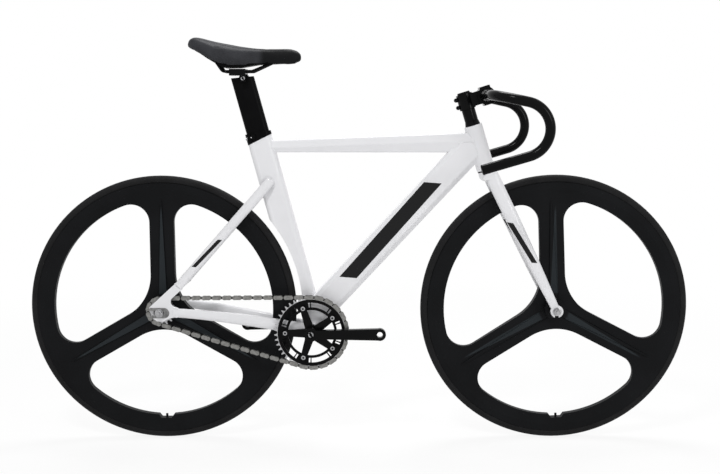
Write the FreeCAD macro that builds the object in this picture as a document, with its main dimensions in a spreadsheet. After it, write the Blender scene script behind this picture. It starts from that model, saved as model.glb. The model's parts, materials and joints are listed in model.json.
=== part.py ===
import FreeCAD
import Part
import Sketcher
import math
import operator
import os

from FreeCAD import Placement, Rotation, Vector

# A fixed gear bike with three-spoke wheels and a drop bar.
# Lengths in millimetres, angles in degrees. X points forward, Y to the rider's left, Z up.
# The ground is Z zero and the origin lies midway between the axles.

os.makedirs("parts", exist_ok=True)
doc = FreeCAD.newDocument("fixed_gear_bike")
sheet = doc.addObject("Spreadsheet::Sheet", "Sizes")

SIZES = [
    # stance
    ("wheelbase", 979),
    ("wheel_radius", 334),
    ("chainstay_length", 376.75),
    ("bracket_drop", 55),
    ("frame_reach", 400),
    ("frame_stack", 510.5),
    ("head_angle", 73),
    ("seat_angle", 75),
    # clearances
    ("running_gap", 0.05),
    ("sliding_gap", 0.3),
    ("working_gap", 0.5),
    # tyres and inner tubes
    ("tyre_width", 23),
    ("tyre_wall", 2),
    ("tyre_mouth", 8),
    ("tube_wall", 1),
    ("valve_radius", 3),
    ("valve_length", 40),
    ("valve_bore", 1),
    # wheel castings
    ("rim_radius", 316),
    ("rim_bed_radius", 311.5),
    ("rim_width", 24),
    ("rim_flange", 2.1),
    ("rim_shoulder_radius", 300),
    ("rim_inner_radius", 275),
    ("rim_wall", 3),
    ("web_outer_radius", 262),
    ("web_outer_width", 12),
    ("web_hub_width", 22),
    ("spoke_width", 61),
    ("window_hub_fillet", 120),
    ("window_rim_fillet", 45),
    ("ridge_hub_base", 40),
    ("ridge_hub_top", 20),
    ("ridge_hub_height", 31),
    ("ridge_rim_base", 8),
    ("ridge_rim_top", 2.4),
    ("ridge_rim_height", 17),
    ("valve_notch_width", 26),
    ("valve_notch_depth", 8),
    ("front_wheel_turn", 2.5),
    # hubs
    ("hub_radius", 26),
    ("hub_length", 76),
    ("hub_bore_radius", 9),
    ("bearing_radius", 13),
    ("bearing_width", 8),
    ("rear_axle_radius", 5),
    ("rear_axle_length", 164),
    ("rear_hub_space", 120),
    ("front_axle_radius", 4.5),
    ("front_axle_length", 142),
    ("front_hub_space", 100),
    ("axle_spacer_radius", 9),
    ("nut_across_flats", 15),
    ("nut_height", 9),
    ("washer_radius", 10.5),
    ("washer_height", 2),
    # drive
    ("chain_line", 42.5),
    ("chain_pitch", 12.7),
    ("chain_roller_radius", 3.85),
    ("chain_inner_width", 3.3),
    ("chain_plate", 1.2),
    ("chain_inner_height", 8.4),
    ("chain_inner_waist", 6.2),
    ("chain_outer_height", 10.4),
    ("chain_outer_waist", 9.8),
    ("chain_pin_radius", 1.8),
    ("chain_pin_proud", 0.5),
    ("tooth_gap_radius", 4.25),
    ("tooth_height", 3.6),
    ("tooth_gap_flare", 3),
    ("sprocket_thickness", 2.9),
    ("ring_teeth", 44),
    ("cog_teeth", 16),
    ("ring_bolt_circle", 65),
    ("ring_inner_radius", 57.5),
    ("ring_slot_inner", 64),
    ("ring_slot_outer", 76),
    ("ring_slot_angle", 36),
    ("ring_slit_width", 4),
    ("ring_slit_offset", 14),
    ("ring_bolt_radius", 4),
    ("ring_bolt_head_radius", 5.4),
    ("ring_bolt_head", 2),
    ("cog_boss_radius", 25),
    ("cog_boss_thickness", 7),
    ("cog_thread_radius", 17),
    ("cog_thread_length", 12),
    ("lockring_radius", 20),
    ("lockring_thickness", 3.5),
    # cranks
    ("crank_length", 170),
    ("crank_inner_face", 57),
    ("crank_thickness", 13),
    ("crank_width", 21),
    ("crank_eye_radius", 15),
    ("crank_boss_radius", 17),
    ("crank_boss_inner", 39),
    ("spider_arm_width", 15),
    ("spider_root_width", 24),
    ("spider_thickness", 6),
    ("pedal_thread_radius", 7.14),
    ("spindle_radius", 8.5),
    ("spindle_square", 12),
    ("spindle_length", 118),
    ("crank_bolt_radius", 7),
    ("crank_bolt_recess", 7.5),
    # bottom bracket
    ("bracket_width", 68),
    ("bracket_radius", 20),
    ("bracket_bore", 17),
    ("cartridge_wall", 3.5),
    ("cartridge_flange", 2.5),
    ("bracket_bearing_width", 9),
    # seat tube, post and collar
    ("seat_axis_offset", 2.6),
    ("seat_tube_rear_top", 487),
    ("seat_tube_front_top", 499.5),
    ("seat_tube_wall", 3),
    ("tyre_cutout_gap", 16),
    ("post_chord", 56),
    ("post_nose_radius", 13),
    ("post_tail_radius", 9),
    ("post_foot", 400),
    ("post_rear_top", 656),
    ("post_front_top", 645.5),
    ("post_wall", 2.4),
    ("collar_rear_top", 514),
    ("collar_front_top", 509),
    ("collar_wall", 3.8),
    ("collar_slit", 2),
    ("collar_slit_back", 17.6),
    ("collar_ear_length", 20),
    ("collar_ear_reach", 19),
    ("collar_ear_height", 11),
    ("collar_bolt_radius", 2.5),
    ("collar_bolt_head_radius", 4.2),
    ("collar_bolt_head", 4),
    # top tube: heights above the bracket at the rear, drops below the head tube's top at the front
    ("top_tube_rear_top", 474),
    ("top_tube_rear_crease", 456.5),
    ("top_tube_rear_bottom", 446),
    ("top_tube_front_top", 17.5),
    ("top_tube_front_crease", 37.5),
    ("top_tube_front_bottom", 66),
    ("top_tube_rear_width", 27),
    ("top_tube_front_width", 42),
    ("top_tube_edge", 4),
    ("frame_wall", 2),
    # down tube
    ("down_tube_bracket_offset", 22),
    ("down_tube_head_drop", 40),
    ("down_tube_depth", 69),
    ("down_tube_width", 40),
    ("down_tube_top_flat", 30),
    ("down_tube_top_bevel", 10),
    ("down_tube_keel_flat", 18),
    ("down_tube_keel_bevel", 12.5),
    ("down_tube_edge", 5),
    # head tube and headset
    ("head_tube_length", 113),
    ("head_tube_radius", 22.5),
    ("head_tube_bore", 17),
    ("headset_bearing_radius", 20.4),
    ("headset_bearing_bore", 15.3),
    ("headset_bearing_height", 7),
    ("steerer_radius", 14.3),
    ("steerer_wall", 2.3),
    ("race_height", 3),
    ("cover_foot_radius", 19),
    ("spacer_radius", 16.5),
    ("cover_height", 12),
    ("spacer_height", 10),
    # stays and dropouts
    ("dropout_thickness", 7),
    ("slot_height", 10.6),
    ("slot_front", 12),
    ("slot_face_height", 26),
    ("slot_face_front", 25),
    ("slot_face_rear", 22),
    ("slot_face_thickness", 1.2),
    ("dropout_notch_radius", 12),
    ("chainstay_height", 30),
    ("chainstay_width", 15),
    ("seatstay_height", 24),
    ("seatstay_width", 14),
    ("seatstay_foot_forward", 48),
    ("seatstay_foot_up", 65),
    ("seatstay_top", 388),
    ("seatstay_top_back", 2),
    ("seatstay_top_spread", 40),
    ("stay_wall", 1.6),
    # fork
    ("fork_tip_thickness", 7),
    ("fork_tip_radius", 15.5),
    ("crown_drop", 130),
    ("crown_height", 26),
    ("crown_length", 40),
    ("crown_width", 76),
    ("crown_seat_radius", 21),
    ("blade_top_forward", 7),
    ("blade_top_spread", 56),
    ("blade_chord", 34),
    ("blade_width", 20),
    ("blade_wall", 2.2),
    ("blade_cap_height", 13),
    # stem
    ("stem_length", 50),
    ("stem_height", 38),
    ("stem_clamp_radius", 20),
    ("stem_neck_width", 32),
    ("stem_neck_height", 33),
    ("bar_clamp_radius", 22),
    ("bar_clamp_width", 46),
    ("stem_split", 2),
    ("stem_bolt_radius", 2.5),
    ("stem_bolt_head_radius", 4.2),
    ("stem_bolt_head", 4.5),
    ("stem_bolt_spread", 22),
    ("top_cap_height", 5),
    # handlebar
    ("bar_radius", 11.9),
    ("bar_wall", 2),
    ("bar_centre_radius", 15.9),
    ("bar_centre_width", 62),
    ("bar_centre_taper", 24),
    ("bar_half_width", 194),
    ("bar_bend_radius", 70),
    ("bar_ramp_angle", 12),
    ("bar_hook_forward", 63.5),
    ("bar_hook_radius", 63.5),
    ("bar_end_angle", 16.2),
    ("bar_end_length", 112),
    ("plug_flange", 2),
    ("plug_depth", 20),
    # saddle and its clamp
    ("saddle_length", 273),
    ("saddle_width", 140),
    ("saddle_nose_forward", 141),
    ("saddle_underside", 33),
    ("saddle_height", 68),
    ("saddle_rim", 4.5),
    ("saddle_base_thickness", 8),
    ("saddle_recess", 4),
    ("rail_radius", 3.5),
    ("rail_spread", 44),
    ("rail_rise", 17),
    ("rail_straight_rear", 50),
    ("rail_straight_front", 22),
    ("rail_bend_radius", 10),
    ("rail_end_spread", 64),
    ("rail_nose_spread", 8),
    ("clamp_bolt_forward", 3.7),
    ("clamp_bolt_up", 646.4),
    ("clamp_bolt_radius", 3),
    ("clamp_bolt_head_radius", 5),
    ("clamp_bolt_head", 4),
    ("clamp_head_radius", 12),
    ("clamp_rear", 34),
    ("clamp_front", 6),
    ("clamp_top", 23),
    ("clamp_bottom", 7),
    ("clamp_plate", 6),
]

for row, (alias, number) in enumerate(SIZES, 1):
    sheet.set(f"A{row}", alias)
    sheet.set(f"B{row}", str(number))
    sheet.setAlias(f"B{row}", alias)
doc.recompute()

OPERATIONS = {"+": operator.add, "-": operator.sub, "*": operator.mul, "/": operator.truediv}


class Size:
    """A number from the sheet together with the expression that gives it."""

    def __init__(self, value, text):
        self.value = float(value)
        self.text = text

    def __float__(self):
        return self.value

    def __add__(self, other):
        return combined(self, "+", other)

    def __radd__(self, other):
        return combined(other, "+", self)

    def __sub__(self, other):
        return combined(self, "-", other)

    def __rsub__(self, other):
        return combined(other, "-", self)

    def __mul__(self, other):
        return combined(self, "*", other)

    def __rmul__(self, other):
        return combined(other, "*", self)

    def __truediv__(self, other):
        return combined(self, "/", other)

    def __rtruediv__(self, other):
        return combined(other, "/", self)

    def __neg__(self):
        return combined(0, "-", self)


def as_size(number):
    if isinstance(number, Size):
        return number
    return Size(number, repr(float(number)))


def combined(left, sign, right):
    left = as_size(left)
    right = as_size(right)
    return Size(OPERATIONS[sign](left.value, right.value), f"({left.text} {sign} {right.text})")


def sine(angle):
    return Size(math.sin(math.radians(float(angle))), f"sin({as_size(angle).text})")


def cosine(angle):
    return Size(math.cos(math.radians(float(angle))), f"cos({as_size(angle).text})")


class Dimensions:
    """Every cell of the sheet, by its alias."""


dim = Dimensions()
for alias, number in SIZES:
    setattr(dim, alias, Size(getattr(sheet, alias), f"Sizes.{alias}"))

FULL_TURN = 360
QUARTER_TURN = 90
THROUGH = 4 * dim.rear_hub_space

# Helpers that make and bind objects


def bind(thing, **properties):
    for name, value in properties.items():
        if isinstance(value, Size):
            thing.setExpression(name, value.text)
        else:
            setattr(thing, name, value)


def vector(x, y, z):
    return Vector(float(x), float(y), float(z))


def frame_at(origin, along, forward):
    """A placement whose local Z runs along one direction and whose local X leans to another."""
    local_z = Vector(along).normalize()
    local_y = local_z.cross(forward).normalize()
    local_x = local_y.cross(local_z)
    return Placement(origin, Rotation(local_x, local_y, local_z, "ZXY"))


def across(centre, start):
    """A placement at a sideways distance from a centre, with local Z to the left."""
    return frame_at(vector(centre.x, start, centre.z), Vector(0, 1, 0), Vector(1, 0, 0))


def cylinder(name, radius, height, place):
    made = doc.addObject("Part::Cylinder", name)
    bind(made, Radius=radius, Height=height)
    made.Placement = place
    return made


def cone(name, foot_radius, top_radius, height, place):
    made = doc.addObject("Part::Cone", name)
    bind(made, Radius1=foot_radius, Radius2=top_radius, Height=height)
    made.Placement = place
    return made


def box(name, length, width, height, place):
    """A block centred on the placement in X and Y and standing on it in Z."""
    made = doc.addObject("Part::Box", name)
    bind(made, Length=length, Width=width, Height=height)
    made.Placement = place * Placement(vector(-length / 2, -width / 2, 0), Rotation())
    return made


def hexagon(name, across_flats, height, place):
    made = doc.addObject("Part::Prism", name)
    bind(made, Circumradius=across_flats / 2 / cosine(FULL_TURN / 12), Height=height, Polygon=6)
    made.Placement = place
    return made


def cut(name, base, *tools):
    made = base
    for number, tool in enumerate(tools, 1):
        step = doc.addObject("Part::Cut", f"{name}_cut_{number}")
        step.Base = made
        step.Tool = tool
        made = step
    return made


def fuse(name, *pieces):
    made = doc.addObject("Part::MultiFuse", f"{name}_fused")
    made.Shapes = list(pieces)
    made.Refine = True
    return made


def group(name, *pieces):
    made = doc.addObject("Part::Compound", f"{name}_group")
    made.Links = list(pieces)
    return made


def mirrored(name, source):
    made = doc.addObject("Part::Mirroring", f"{name}_mirrored")
    made.Source = source
    made.Normal = Vector(0, 1, 0)
    return made


def ring(name, outer, inner, height, place):
    return cut(name, cylinder(f"{name}_outer", outer, height, place),
               cylinder(f"{name}_inner", inner, height, place))


def pair(name, source):
    """A piece on the right and the same piece mirrored to the left."""
    return group(name, source, mirrored(name, source))


def loft(name, sections):
    made = doc.addObject("Part::Loft", f"{name}_loft")
    made.Sections = sections
    made.Solid = True
    return made


def ellipse(name, half_height, half_width, place):
    """A section whose taller axis is the local X of the placement."""
    made = doc.addObject("Part::Ellipse", f"{name}_section")
    bind(made, MajorRadius=half_height, MinorRadius=half_width)
    made.Placement = place
    return made


def half_space(name, place):
    """Everything on the local Z side of a placement, out to the length of the bike."""
    return box(name, dim.wheelbase, dim.wheelbase, dim.wheelbase, place)


def solid_of(name, shape):
    made = doc.addObject("Part::Feature", name)
    made.Shape = shape
    return made


# Helpers for sketched pieces


def new_body(name, place):
    made = doc.addObject("PartDesign::Body", name)
    made.Placement = place
    return made


def sketch_on(body, plane, offset=0):
    made = body.newObject("Sketcher::SketchObject", f"{body.Name}_sketch")
    support = next(f for f in body.Origin.OriginFeatures if f.Role == plane)
    made.AttachmentSupport = [(support, "")]
    made.MapMode = "FlatFace"
    made.AttachmentOffset = Placement(vector(0, 0, offset), Rotation())
    if isinstance(offset, Size):
        made.setExpression("AttachmentOffset.Base.z", offset.text)
    return made


def hold(sketch, kind, number, position, value):
    """A sideways or upright distance from the sketch's origin, bound to its size."""
    made = sketch.addConstraint(Sketcher.Constraint(kind, -1, 1, number, position, float(value)))
    if isinstance(value, Size):
        sketch.setExpression(f"Constraints[{made}]", value.text)


def outline(sketch, points):
    """A closed chain of straight lines through points whose coordinates are sizes."""
    first = sketch.GeometryCount
    flat = [vector(x, y, 0) for x, y in points]
    for here, there in zip(flat, flat[1:] + flat[:1]):
        sketch.addGeometry(Part.LineSegment(here, there))
    count = len(points)
    for number in range(count):
        follower = first + (number + 1) % count
        sketch.addConstraint(Sketcher.Constraint("Coincident", first + number, 2, follower, 1))
    for number, (x, y) in enumerate(points):
        hold(sketch, "DistanceX", first + number, 1, x)
        hold(sketch, "DistanceY", first + number, 1, y)


def disc(sketch, radius, x=0, y=0):
    number = sketch.addGeometry(Part.Circle(vector(x, y, 0), Vector(0, 0, 1), float(radius)))
    hold(sketch, "DistanceX", number, 3, x)
    hold(sketch, "DistanceY", number, 3, y)
    made = sketch.addConstraint(Sketcher.Constraint("Radius", number, float(radius)))
    if isinstance(radius, Size):
        sketch.setExpression(f"Constraints[{made}]", radius.text)


def curved_outline(sketch, pieces):
    """A closed chain of lines, given by two points, and arcs, given by three."""
    first = sketch.GeometryCount
    for points in pieces:
        flat = [vector(x, y, 0) for x, y in points]
        sketch.addGeometry(Part.LineSegment(*flat) if len(flat) == 2 else Part.Arc(*flat))
    count = len(pieces)
    for number, points in enumerate(pieces):
        end = 2
        if len(points) == 3 and is_clockwise(points):
            end = 1
        after = pieces[(number + 1) % count]
        start = 1
        if len(after) == 3 and is_clockwise(after):
            start = 2
        follower = first + (number + 1) % count
        sketch.addConstraint(Sketcher.Constraint("Coincident", first + number, end, follower, start))


def rounded_outline(sketch, points, radius):
    """A closed chain of straight lines whose corners are arcs of one radius."""
    flat = [vector(x, y, 0) for x, y in points]
    count = len(flat)
    starts = []
    middles = []
    ends = []
    for number, corner in enumerate(flat):
        inward = (flat[number - 1] - corner).normalize()
        outward = (flat[(number + 1) % count] - corner).normalize()
        half_turn = (math.pi - inward.getAngle(outward)) / 2
        reach = float(radius) * math.tan(half_turn)
        depth = float(radius) * (1 / math.cos(half_turn) - 1)
        starts.append(corner + inward * reach)
        middles.append(corner + (inward + outward).normalize() * depth)
        ends.append(corner + outward * reach)
    pieces = []
    for number in range(count):
        after = (number + 1) % count
        pieces.append([starts[number], middles[number], ends[number]])
        pieces.append([ends[number], starts[after]])
    curved_outline(sketch, [[(point.x, point.y) for point in piece] for piece in pieces])
    for number in range(count):
        made = sketch.addConstraint(Sketcher.Constraint("Radius", 2 * number, float(radius)))
        sketch.setExpression(f"Constraints[{made}]", radius.text)


def is_clockwise(points):
    (ax, ay), (bx, by), (cx, cy) = [(float(x), float(y)) for x, y in points]
    return (bx - ax) * (cy - ay) - (by - ay) * (cx - ax) < 0


def turned(point, angle):
    """A sketch point turned about the sketch's origin."""
    swing = math.radians(float(angle))
    x, y = float(point[0]), float(point[1])
    return (x * math.cos(swing) - y * math.sin(swing), x * math.sin(swing) + y * math.cos(swing))


def on_circle(radius, angle):
    return turned((radius, 0), angle)


def pad(body, sketch, length, symmetric=False):
    made = body.newObject("PartDesign::Pad", f"{body.Name}_pad")
    made.Profile = sketch
    made.SideType = "Symmetric" if symmetric else "One side"
    bind(made, Length=length)
    return made


def pocket(body, sketch, length=THROUGH, symmetric=True, reverse=False):
    made = body.newObject("PartDesign::Pocket", f"{body.Name}_pocket")
    made.Profile = sketch
    made.SideType = "Symmetric" if symmetric else "One side"
    made.Reversed = reverse
    bind(made, Length=length)
    return made


def spun(body, kind, sketch):
    """A revolution or groove of a sketch about its own upright axis."""
    made = body.newObject(f"PartDesign::{kind}", f"{body.Name}_{kind.lower()}")
    made.Profile = sketch
    made.ReferenceAxis = (sketch, ["V_Axis"])
    made.Angle = FULL_TURN
    return made


def repeated(body, features, count):
    """Features repeated around the sideways axis of the body."""
    made = body.newObject("PartDesign::PolarPattern", f"{body.Name}_pattern")
    made.Originals = features
    axis = next(f for f in body.Origin.OriginFeatures if f.Role == "Y_Axis")
    made.Axis = (axis, [""])
    made.Angle = FULL_TURN
    made.Occurrences = int(round(float(count)))
    body.Tip = made
    return made


def long_edges(shape, reach):
    """Names of the edges that are longer than a reach."""
    return [f"Edge{n}" for n, edge in enumerate(shape.Edges, 1) if edge.Length > float(reach)]


def round_edges(body, feature, names, radius):
    made = body.newObject("PartDesign::Fillet", f"{body.Name}_fillet")
    made.Base = (feature, names)
    bind(made, Radius=radius)
    return made


def teardrop(sketch, offset):
    """The section of the seatpost, grown or shrunk all round by an offset."""
    nose_radius = dim.post_nose_radius + offset
    tail_radius = dim.post_tail_radius + offset
    nose_x = dim.post_chord / 2 - dim.post_nose_radius
    tail_x = dim.post_tail_radius - dim.post_chord / 2
    taper = (nose_radius - tail_radius) / (nose_x - tail_x)
    up_angle = QUARTER_TURN - math.degrees(math.asin(float(taper)))
    nose = [on_circle(nose_radius, angle) for angle in (-up_angle, 0, up_angle)]
    tail = [on_circle(tail_radius, angle) for angle in (up_angle, 2 * QUARTER_TURN, -up_angle)]
    nose = [(x + float(nose_x), y) for x, y in nose]
    tail = [(x + float(tail_x), y) for x, y in tail]
    curved_outline(sketch, [nose, [nose[2], tail[0]], tail, [tail[2], nose[0]]])
    for number, radius, centre in [(0, nose_radius, nose_x), (2, tail_radius, tail_x)]:
        made = sketch.addConstraint(Sketcher.Constraint("Radius", number, float(radius)))
        sketch.setExpression(f"Constraints[{made}]", radius.text)
        hold(sketch, "DistanceX", number, 3, centre)
        sketch.addConstraint(Sketcher.Constraint("PointOnObject", number, 3, -1))


def bent_wire(points, radii):
    """Straight runs between points, joined by arcs at the points in between."""
    edges = []
    start = points[0]
    for before, corner, after, radius in zip(points, points[1:], points[2:], radii):
        inward = (before - corner).normalize()
        outward = (after - corner).normalize()
        half_turn = (math.pi - inward.getAngle(outward)) / 2
        reach = float(radius) * math.tan(half_turn)
        middle = (inward + outward).normalize()
        depth = float(radius) * (1 / math.cos(half_turn) - 1)
        arc_start = corner + inward * reach
        arc_end = corner + outward * reach
        edges.append(Part.LineSegment(start, arc_start).toShape())
        edges.append(Part.Arc(arc_start, corner + middle * depth, arc_end).toShape())
        start = arc_end
    edges.append(Part.LineSegment(start, points[-1]).toShape())
    return Part.Wire(edges)


def swept_tube(name, spine, radius, start, direction):
    """A round rod along a spine."""
    profile = doc.addObject("Part::Circle", f"{name}_profile")
    bind(profile, Radius=radius)
    profile.Placement = frame_at(start, direction, Vector(0, 0, 1))
    made = doc.addObject("Part::Sweep", f"{name}_sweep")
    made.Sections = [profile]
    made.Spine = (spine, [f"Edge{n}" for n in range(1, len(spine.Shape.Edges) + 1)])
    made.Solid = True
    return made


NODES = {}


def node(label, thing):
    NODES[label] = thing
    return thing


# Main points and directions

rear_hub = vector(-dim.wheelbase / 2, 0, dim.wheel_radius)
front_hub = vector(dim.wheelbase / 2, 0, dim.wheel_radius)
stay_run = math.sqrt(float(dim.chainstay_length) ** 2 - float(dim.bracket_drop) ** 2)
bracket = vector(rear_hub.x + stay_run, 0, dim.wheel_radius - dim.bracket_drop)
left = Vector(0, 1, 0)
forward = Vector(1, 0, 0)
upward = Vector(0, 0, 1)

seat_up = vector(-cosine(dim.seat_angle), 0, sine(dim.seat_angle))
seat_frame = frame_at(bracket, seat_up, forward)
seat_frame = seat_frame * Placement(vector(dim.seat_axis_offset, 0, 0), Rotation())

head_top = bracket + vector(dim.frame_reach, 0, dim.frame_stack)
steer_up = vector(-cosine(dim.head_angle), 0, sine(dim.head_angle))
steer_frame = frame_at(head_top, steer_up, forward)


def seat_point(forward_by, up_by, left_by=0):
    return seat_frame.multVec(vector(forward_by, left_by, up_by))


def steer_point(forward_by, up_by, left_by=0):
    return steer_frame.multVec(vector(forward_by, left_by, up_by))


def steer_at(up_by):
    """The steering axis at a height above the top of the head tube."""
    return steer_frame * Placement(vector(0, 0, up_by), Rotation())


# Wheels


def hub_side(sign, end, barrel_end, barrel_step):
    """Half of the hub and web profile, from the bore out to the rim bed."""
    seat = dim.bearing_radius + dim.running_gap
    flange = dim.rim_width / 2 - dim.rim_flange
    points = [
        (dim.hub_bore_radius, end - dim.bearing_width),
        (seat, end - dim.bearing_width),
        (seat, end),
    ]
    if barrel_step:
        points += [(dim.cog_thread_radius, end), (dim.cog_thread_radius, barrel_end)]
    points += [
        (dim.hub_radius, barrel_end),
        (dim.hub_radius, dim.web_hub_width / 2),
        (dim.web_outer_radius, dim.web_outer_width / 2),
        (dim.rim_shoulder_radius, dim.rim_width / 2),
        (dim.rim_radius, dim.rim_width / 2),
        (dim.rim_radius, flange),
        (dim.rim_bed_radius, flange),
    ]
    return [(radius, sign * side) for radius, side in points]


def window_pieces(middle_angle):
    """One opening between two spokes: rim arc, rim fillets, spoke edges and hub fillet."""
    half_spread = FULL_TURN / 6
    spoke_half = float(dim.spoke_width) / 2
    hub_fillet = float(dim.window_hub_fillet)
    rim_fillet = float(dim.window_rim_fillet)
    rim_inner = float(dim.rim_inner_radius)
    hub_centre = (spoke_half + hub_fillet) / math.sin(math.radians(half_spread))
    run = math.sqrt((rim_inner - rim_fillet) ** 2 - (spoke_half + rim_fillet) ** 2)
    lift = math.degrees(math.atan2(spoke_half + rim_fillet, run))
    rim_angle = half_spread - lift

    def upper(point, sign):
        return turned((point[0], sign * point[1]), middle_angle)

    edge_outer = turned((run, -spoke_half), half_spread)
    edge_inner = (hub_centre - hub_fillet * math.sin(math.radians(half_spread)),
                  hub_fillet * math.cos(math.radians(half_spread)))
    fillet_centre = on_circle(rim_inner - rim_fillet, rim_angle)
    bend = on_circle(rim_fillet, (rim_angle + half_spread + QUARTER_TURN) / 2)
    fillet_middle = (fillet_centre[0] + bend[0], fillet_centre[1] + bend[1])
    rim_end = on_circle(rim_inner, rim_angle)
    return [
        [upper(rim_end, -1), upper((rim_inner, 0), 1), upper(rim_end, 1)],
        [upper(rim_end, 1), upper(fillet_middle, 1), upper(edge_outer, 1)],
        [upper(edge_outer, 1), upper(edge_inner, 1)],
        [upper(edge_inner, 1), upper((hub_centre - hub_fillet, 0), 1), upper(edge_inner, -1)],
        [upper(edge_inner, -1), upper(edge_outer, -1)],
        [upper(edge_outer, -1), upper(fillet_middle, -1), upper(rim_end, -1)],
    ]


def ridge_section(body, height_up, base, top, thickness):
    """A six-sided section across a spoke, wider at its middle than at its two faces."""
    sketch = sketch_on(body, "XY_Plane", height_up)
    outline(sketch, [
        (base / 2, 0), (top / 2, thickness / 2), (-top / 2, thickness / 2),
        (-base / 2, 0), (-top / 2, -thickness / 2), (top / 2, -thickness / 2),
    ])
    return sketch


def wheel_casting(name, centre, turn, with_thread):
    place = Placement(centre, Rotation(left, -float(turn)))
    body = new_body(f"{name}_body", place)
    profile = sketch_on(body, "XY_Plane")
    half = dim.hub_length / 2
    right_end = half + dim.cog_thread_length if with_thread else half
    right_side = hub_side(-1, right_end, half, with_thread)
    left_side = hub_side(1, half, half, False)
    outline(profile, right_side + left_side[::-1])
    spun(body, "Revolution", profile)
    ridge = body.newObject("PartDesign::AdditiveLoft", f"{name}_ridge")
    ridge.Profile = ridge_section(body, dim.hub_radius - dim.rim_wall, dim.ridge_hub_base,
                                  dim.ridge_hub_top, dim.ridge_hub_height)
    ridge.Sections = [ridge_section(body, dim.rim_inner_radius + dim.rim_wall, dim.ridge_rim_base,
                                    dim.ridge_rim_top, dim.ridge_rim_height)]
    ridge.Ruled = True
    repeated(body, [ridge], 3)
    window = sketch_on(body, "XZ_Plane")
    curved_outline(window, window_pieces(-QUARTER_TURN))
    opening = pocket(body, window)
    repeated(body, [opening], 3)
    cell = sketch_on(body, "XY_Plane")
    cell_foot = dim.rim_inner_radius + dim.valve_notch_depth + dim.rim_wall
    cell_side = dim.rim_width / 2 - dim.rim_wall
    foot_side = dim.web_outer_width / 2 - dim.rim_wall / 2
    outline(cell, [
        (cell_foot, -foot_side), (dim.rim_shoulder_radius, -cell_side),
        (dim.rim_bed_radius - dim.rim_wall, -cell_side), (dim.rim_bed_radius - dim.rim_wall, cell_side),
        (dim.rim_shoulder_radius, cell_side), (cell_foot, foot_side),
    ])
    spun(body, "Groove", cell)
    notch = sketch_on(body, "XZ_Plane")
    notch_half = dim.valve_notch_width / 2
    notch_top = -(dim.rim_inner_radius - dim.rim_wall)
    notch_floor = -(dim.rim_inner_radius + dim.valve_notch_depth)
    outline(notch, [
        (-notch_half - dim.valve_notch_depth, notch_top), (notch_half + dim.valve_notch_depth, notch_top),
        (notch_half, notch_floor), (-notch_half, notch_floor),
    ])
    pocket(body, notch)
    valve_hole = sketch_on(body, "XY_Plane", -(dim.rim_inner_radius - dim.rim_wall))
    disc(valve_hole, dim.valve_radius + dim.sliding_gap)
    pocket(body, valve_hole, dim.valve_length, symmetric=False)
    return body


def tyre(name, centre):
    body = new_body(f"{name}_body", Placement(centre, Rotation()))
    profile = sketch_on(body, "XY_Plane")
    outer = float(dim.tyre_width) / 2
    inner = outer - float(dim.tyre_wall)
    middle = float(dim.wheel_radius) - outer
    mouth = math.degrees(math.asin(float(dim.tyre_mouth) / 2 / outer))

    def around(radius, angle):
        x, y = on_circle(radius, angle)
        return (middle + x, y)

    start = mouth - 2 * QUARTER_TURN
    outer_arc = [around(outer, start), around(outer, 0), around(outer, -start)]
    inner_arc = [around(inner, -start), around(inner, 0), around(inner, start)]
    lips = [[outer_arc[2], inner_arc[0]], [inner_arc[2], outer_arc[0]]]
    curved_outline(profile, [outer_arc, lips[0], inner_arc, lips[1]])
    for number, radius in [(0, dim.tyre_width / 2), (2, dim.tyre_width / 2 - dim.tyre_wall)]:
        made = profile.addConstraint(Sketcher.Constraint("Radius", number, float(radius)))
        profile.setExpression(f"Constraints[{made}]", radius.text)
    spun(body, "Revolution", profile)
    return body


def inner_tube(name, centre, turn):
    """A thin ring of rubber with its valve, bored so that the air space is open."""
    middle = dim.wheel_radius - dim.tyre_width / 2
    outer = dim.tyre_width / 2 - dim.tyre_wall - dim.sliding_gap
    flat = frame_at(centre, left, forward)
    rings = []
    for radius in (outer, outer - dim.tube_wall):
        made = doc.addObject("Part::Torus", f"{name}_ring")
        bind(made, Radius1=middle, Radius2=radius)
        made.Placement = flat
        rings.append(made)
    hang = frame_at(centre, vector(0, 0, -1), forward)
    hang = Placement(centre, Rotation(left, -float(turn))) * Placement(-centre, Rotation()) * hang
    foot = middle - outer + dim.tube_wall - dim.valve_length
    stem = cylinder(f"{name}_stem", dim.valve_radius, dim.valve_length,
                    hang * Placement(vector(0, 0, foot), Rotation()))
    bore = cylinder(f"{name}_bore", dim.valve_bore, dim.valve_length + outer,
                    hang * Placement(vector(0, 0, foot), Rotation()))
    hollow = cut(f"{name}_wall", fuse(name, rings[0], stem), rings[1])
    return cut(name, hollow, bore)


def bearing_pair(name, outer, inner, width, centre, right_start, left_start):
    right = ring(f"{name}_right", outer, inner, width, across(centre, right_start))
    other = ring(f"{name}_left", outer, inner, width, across(centre, left_start))
    return group(name, right, other)


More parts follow.
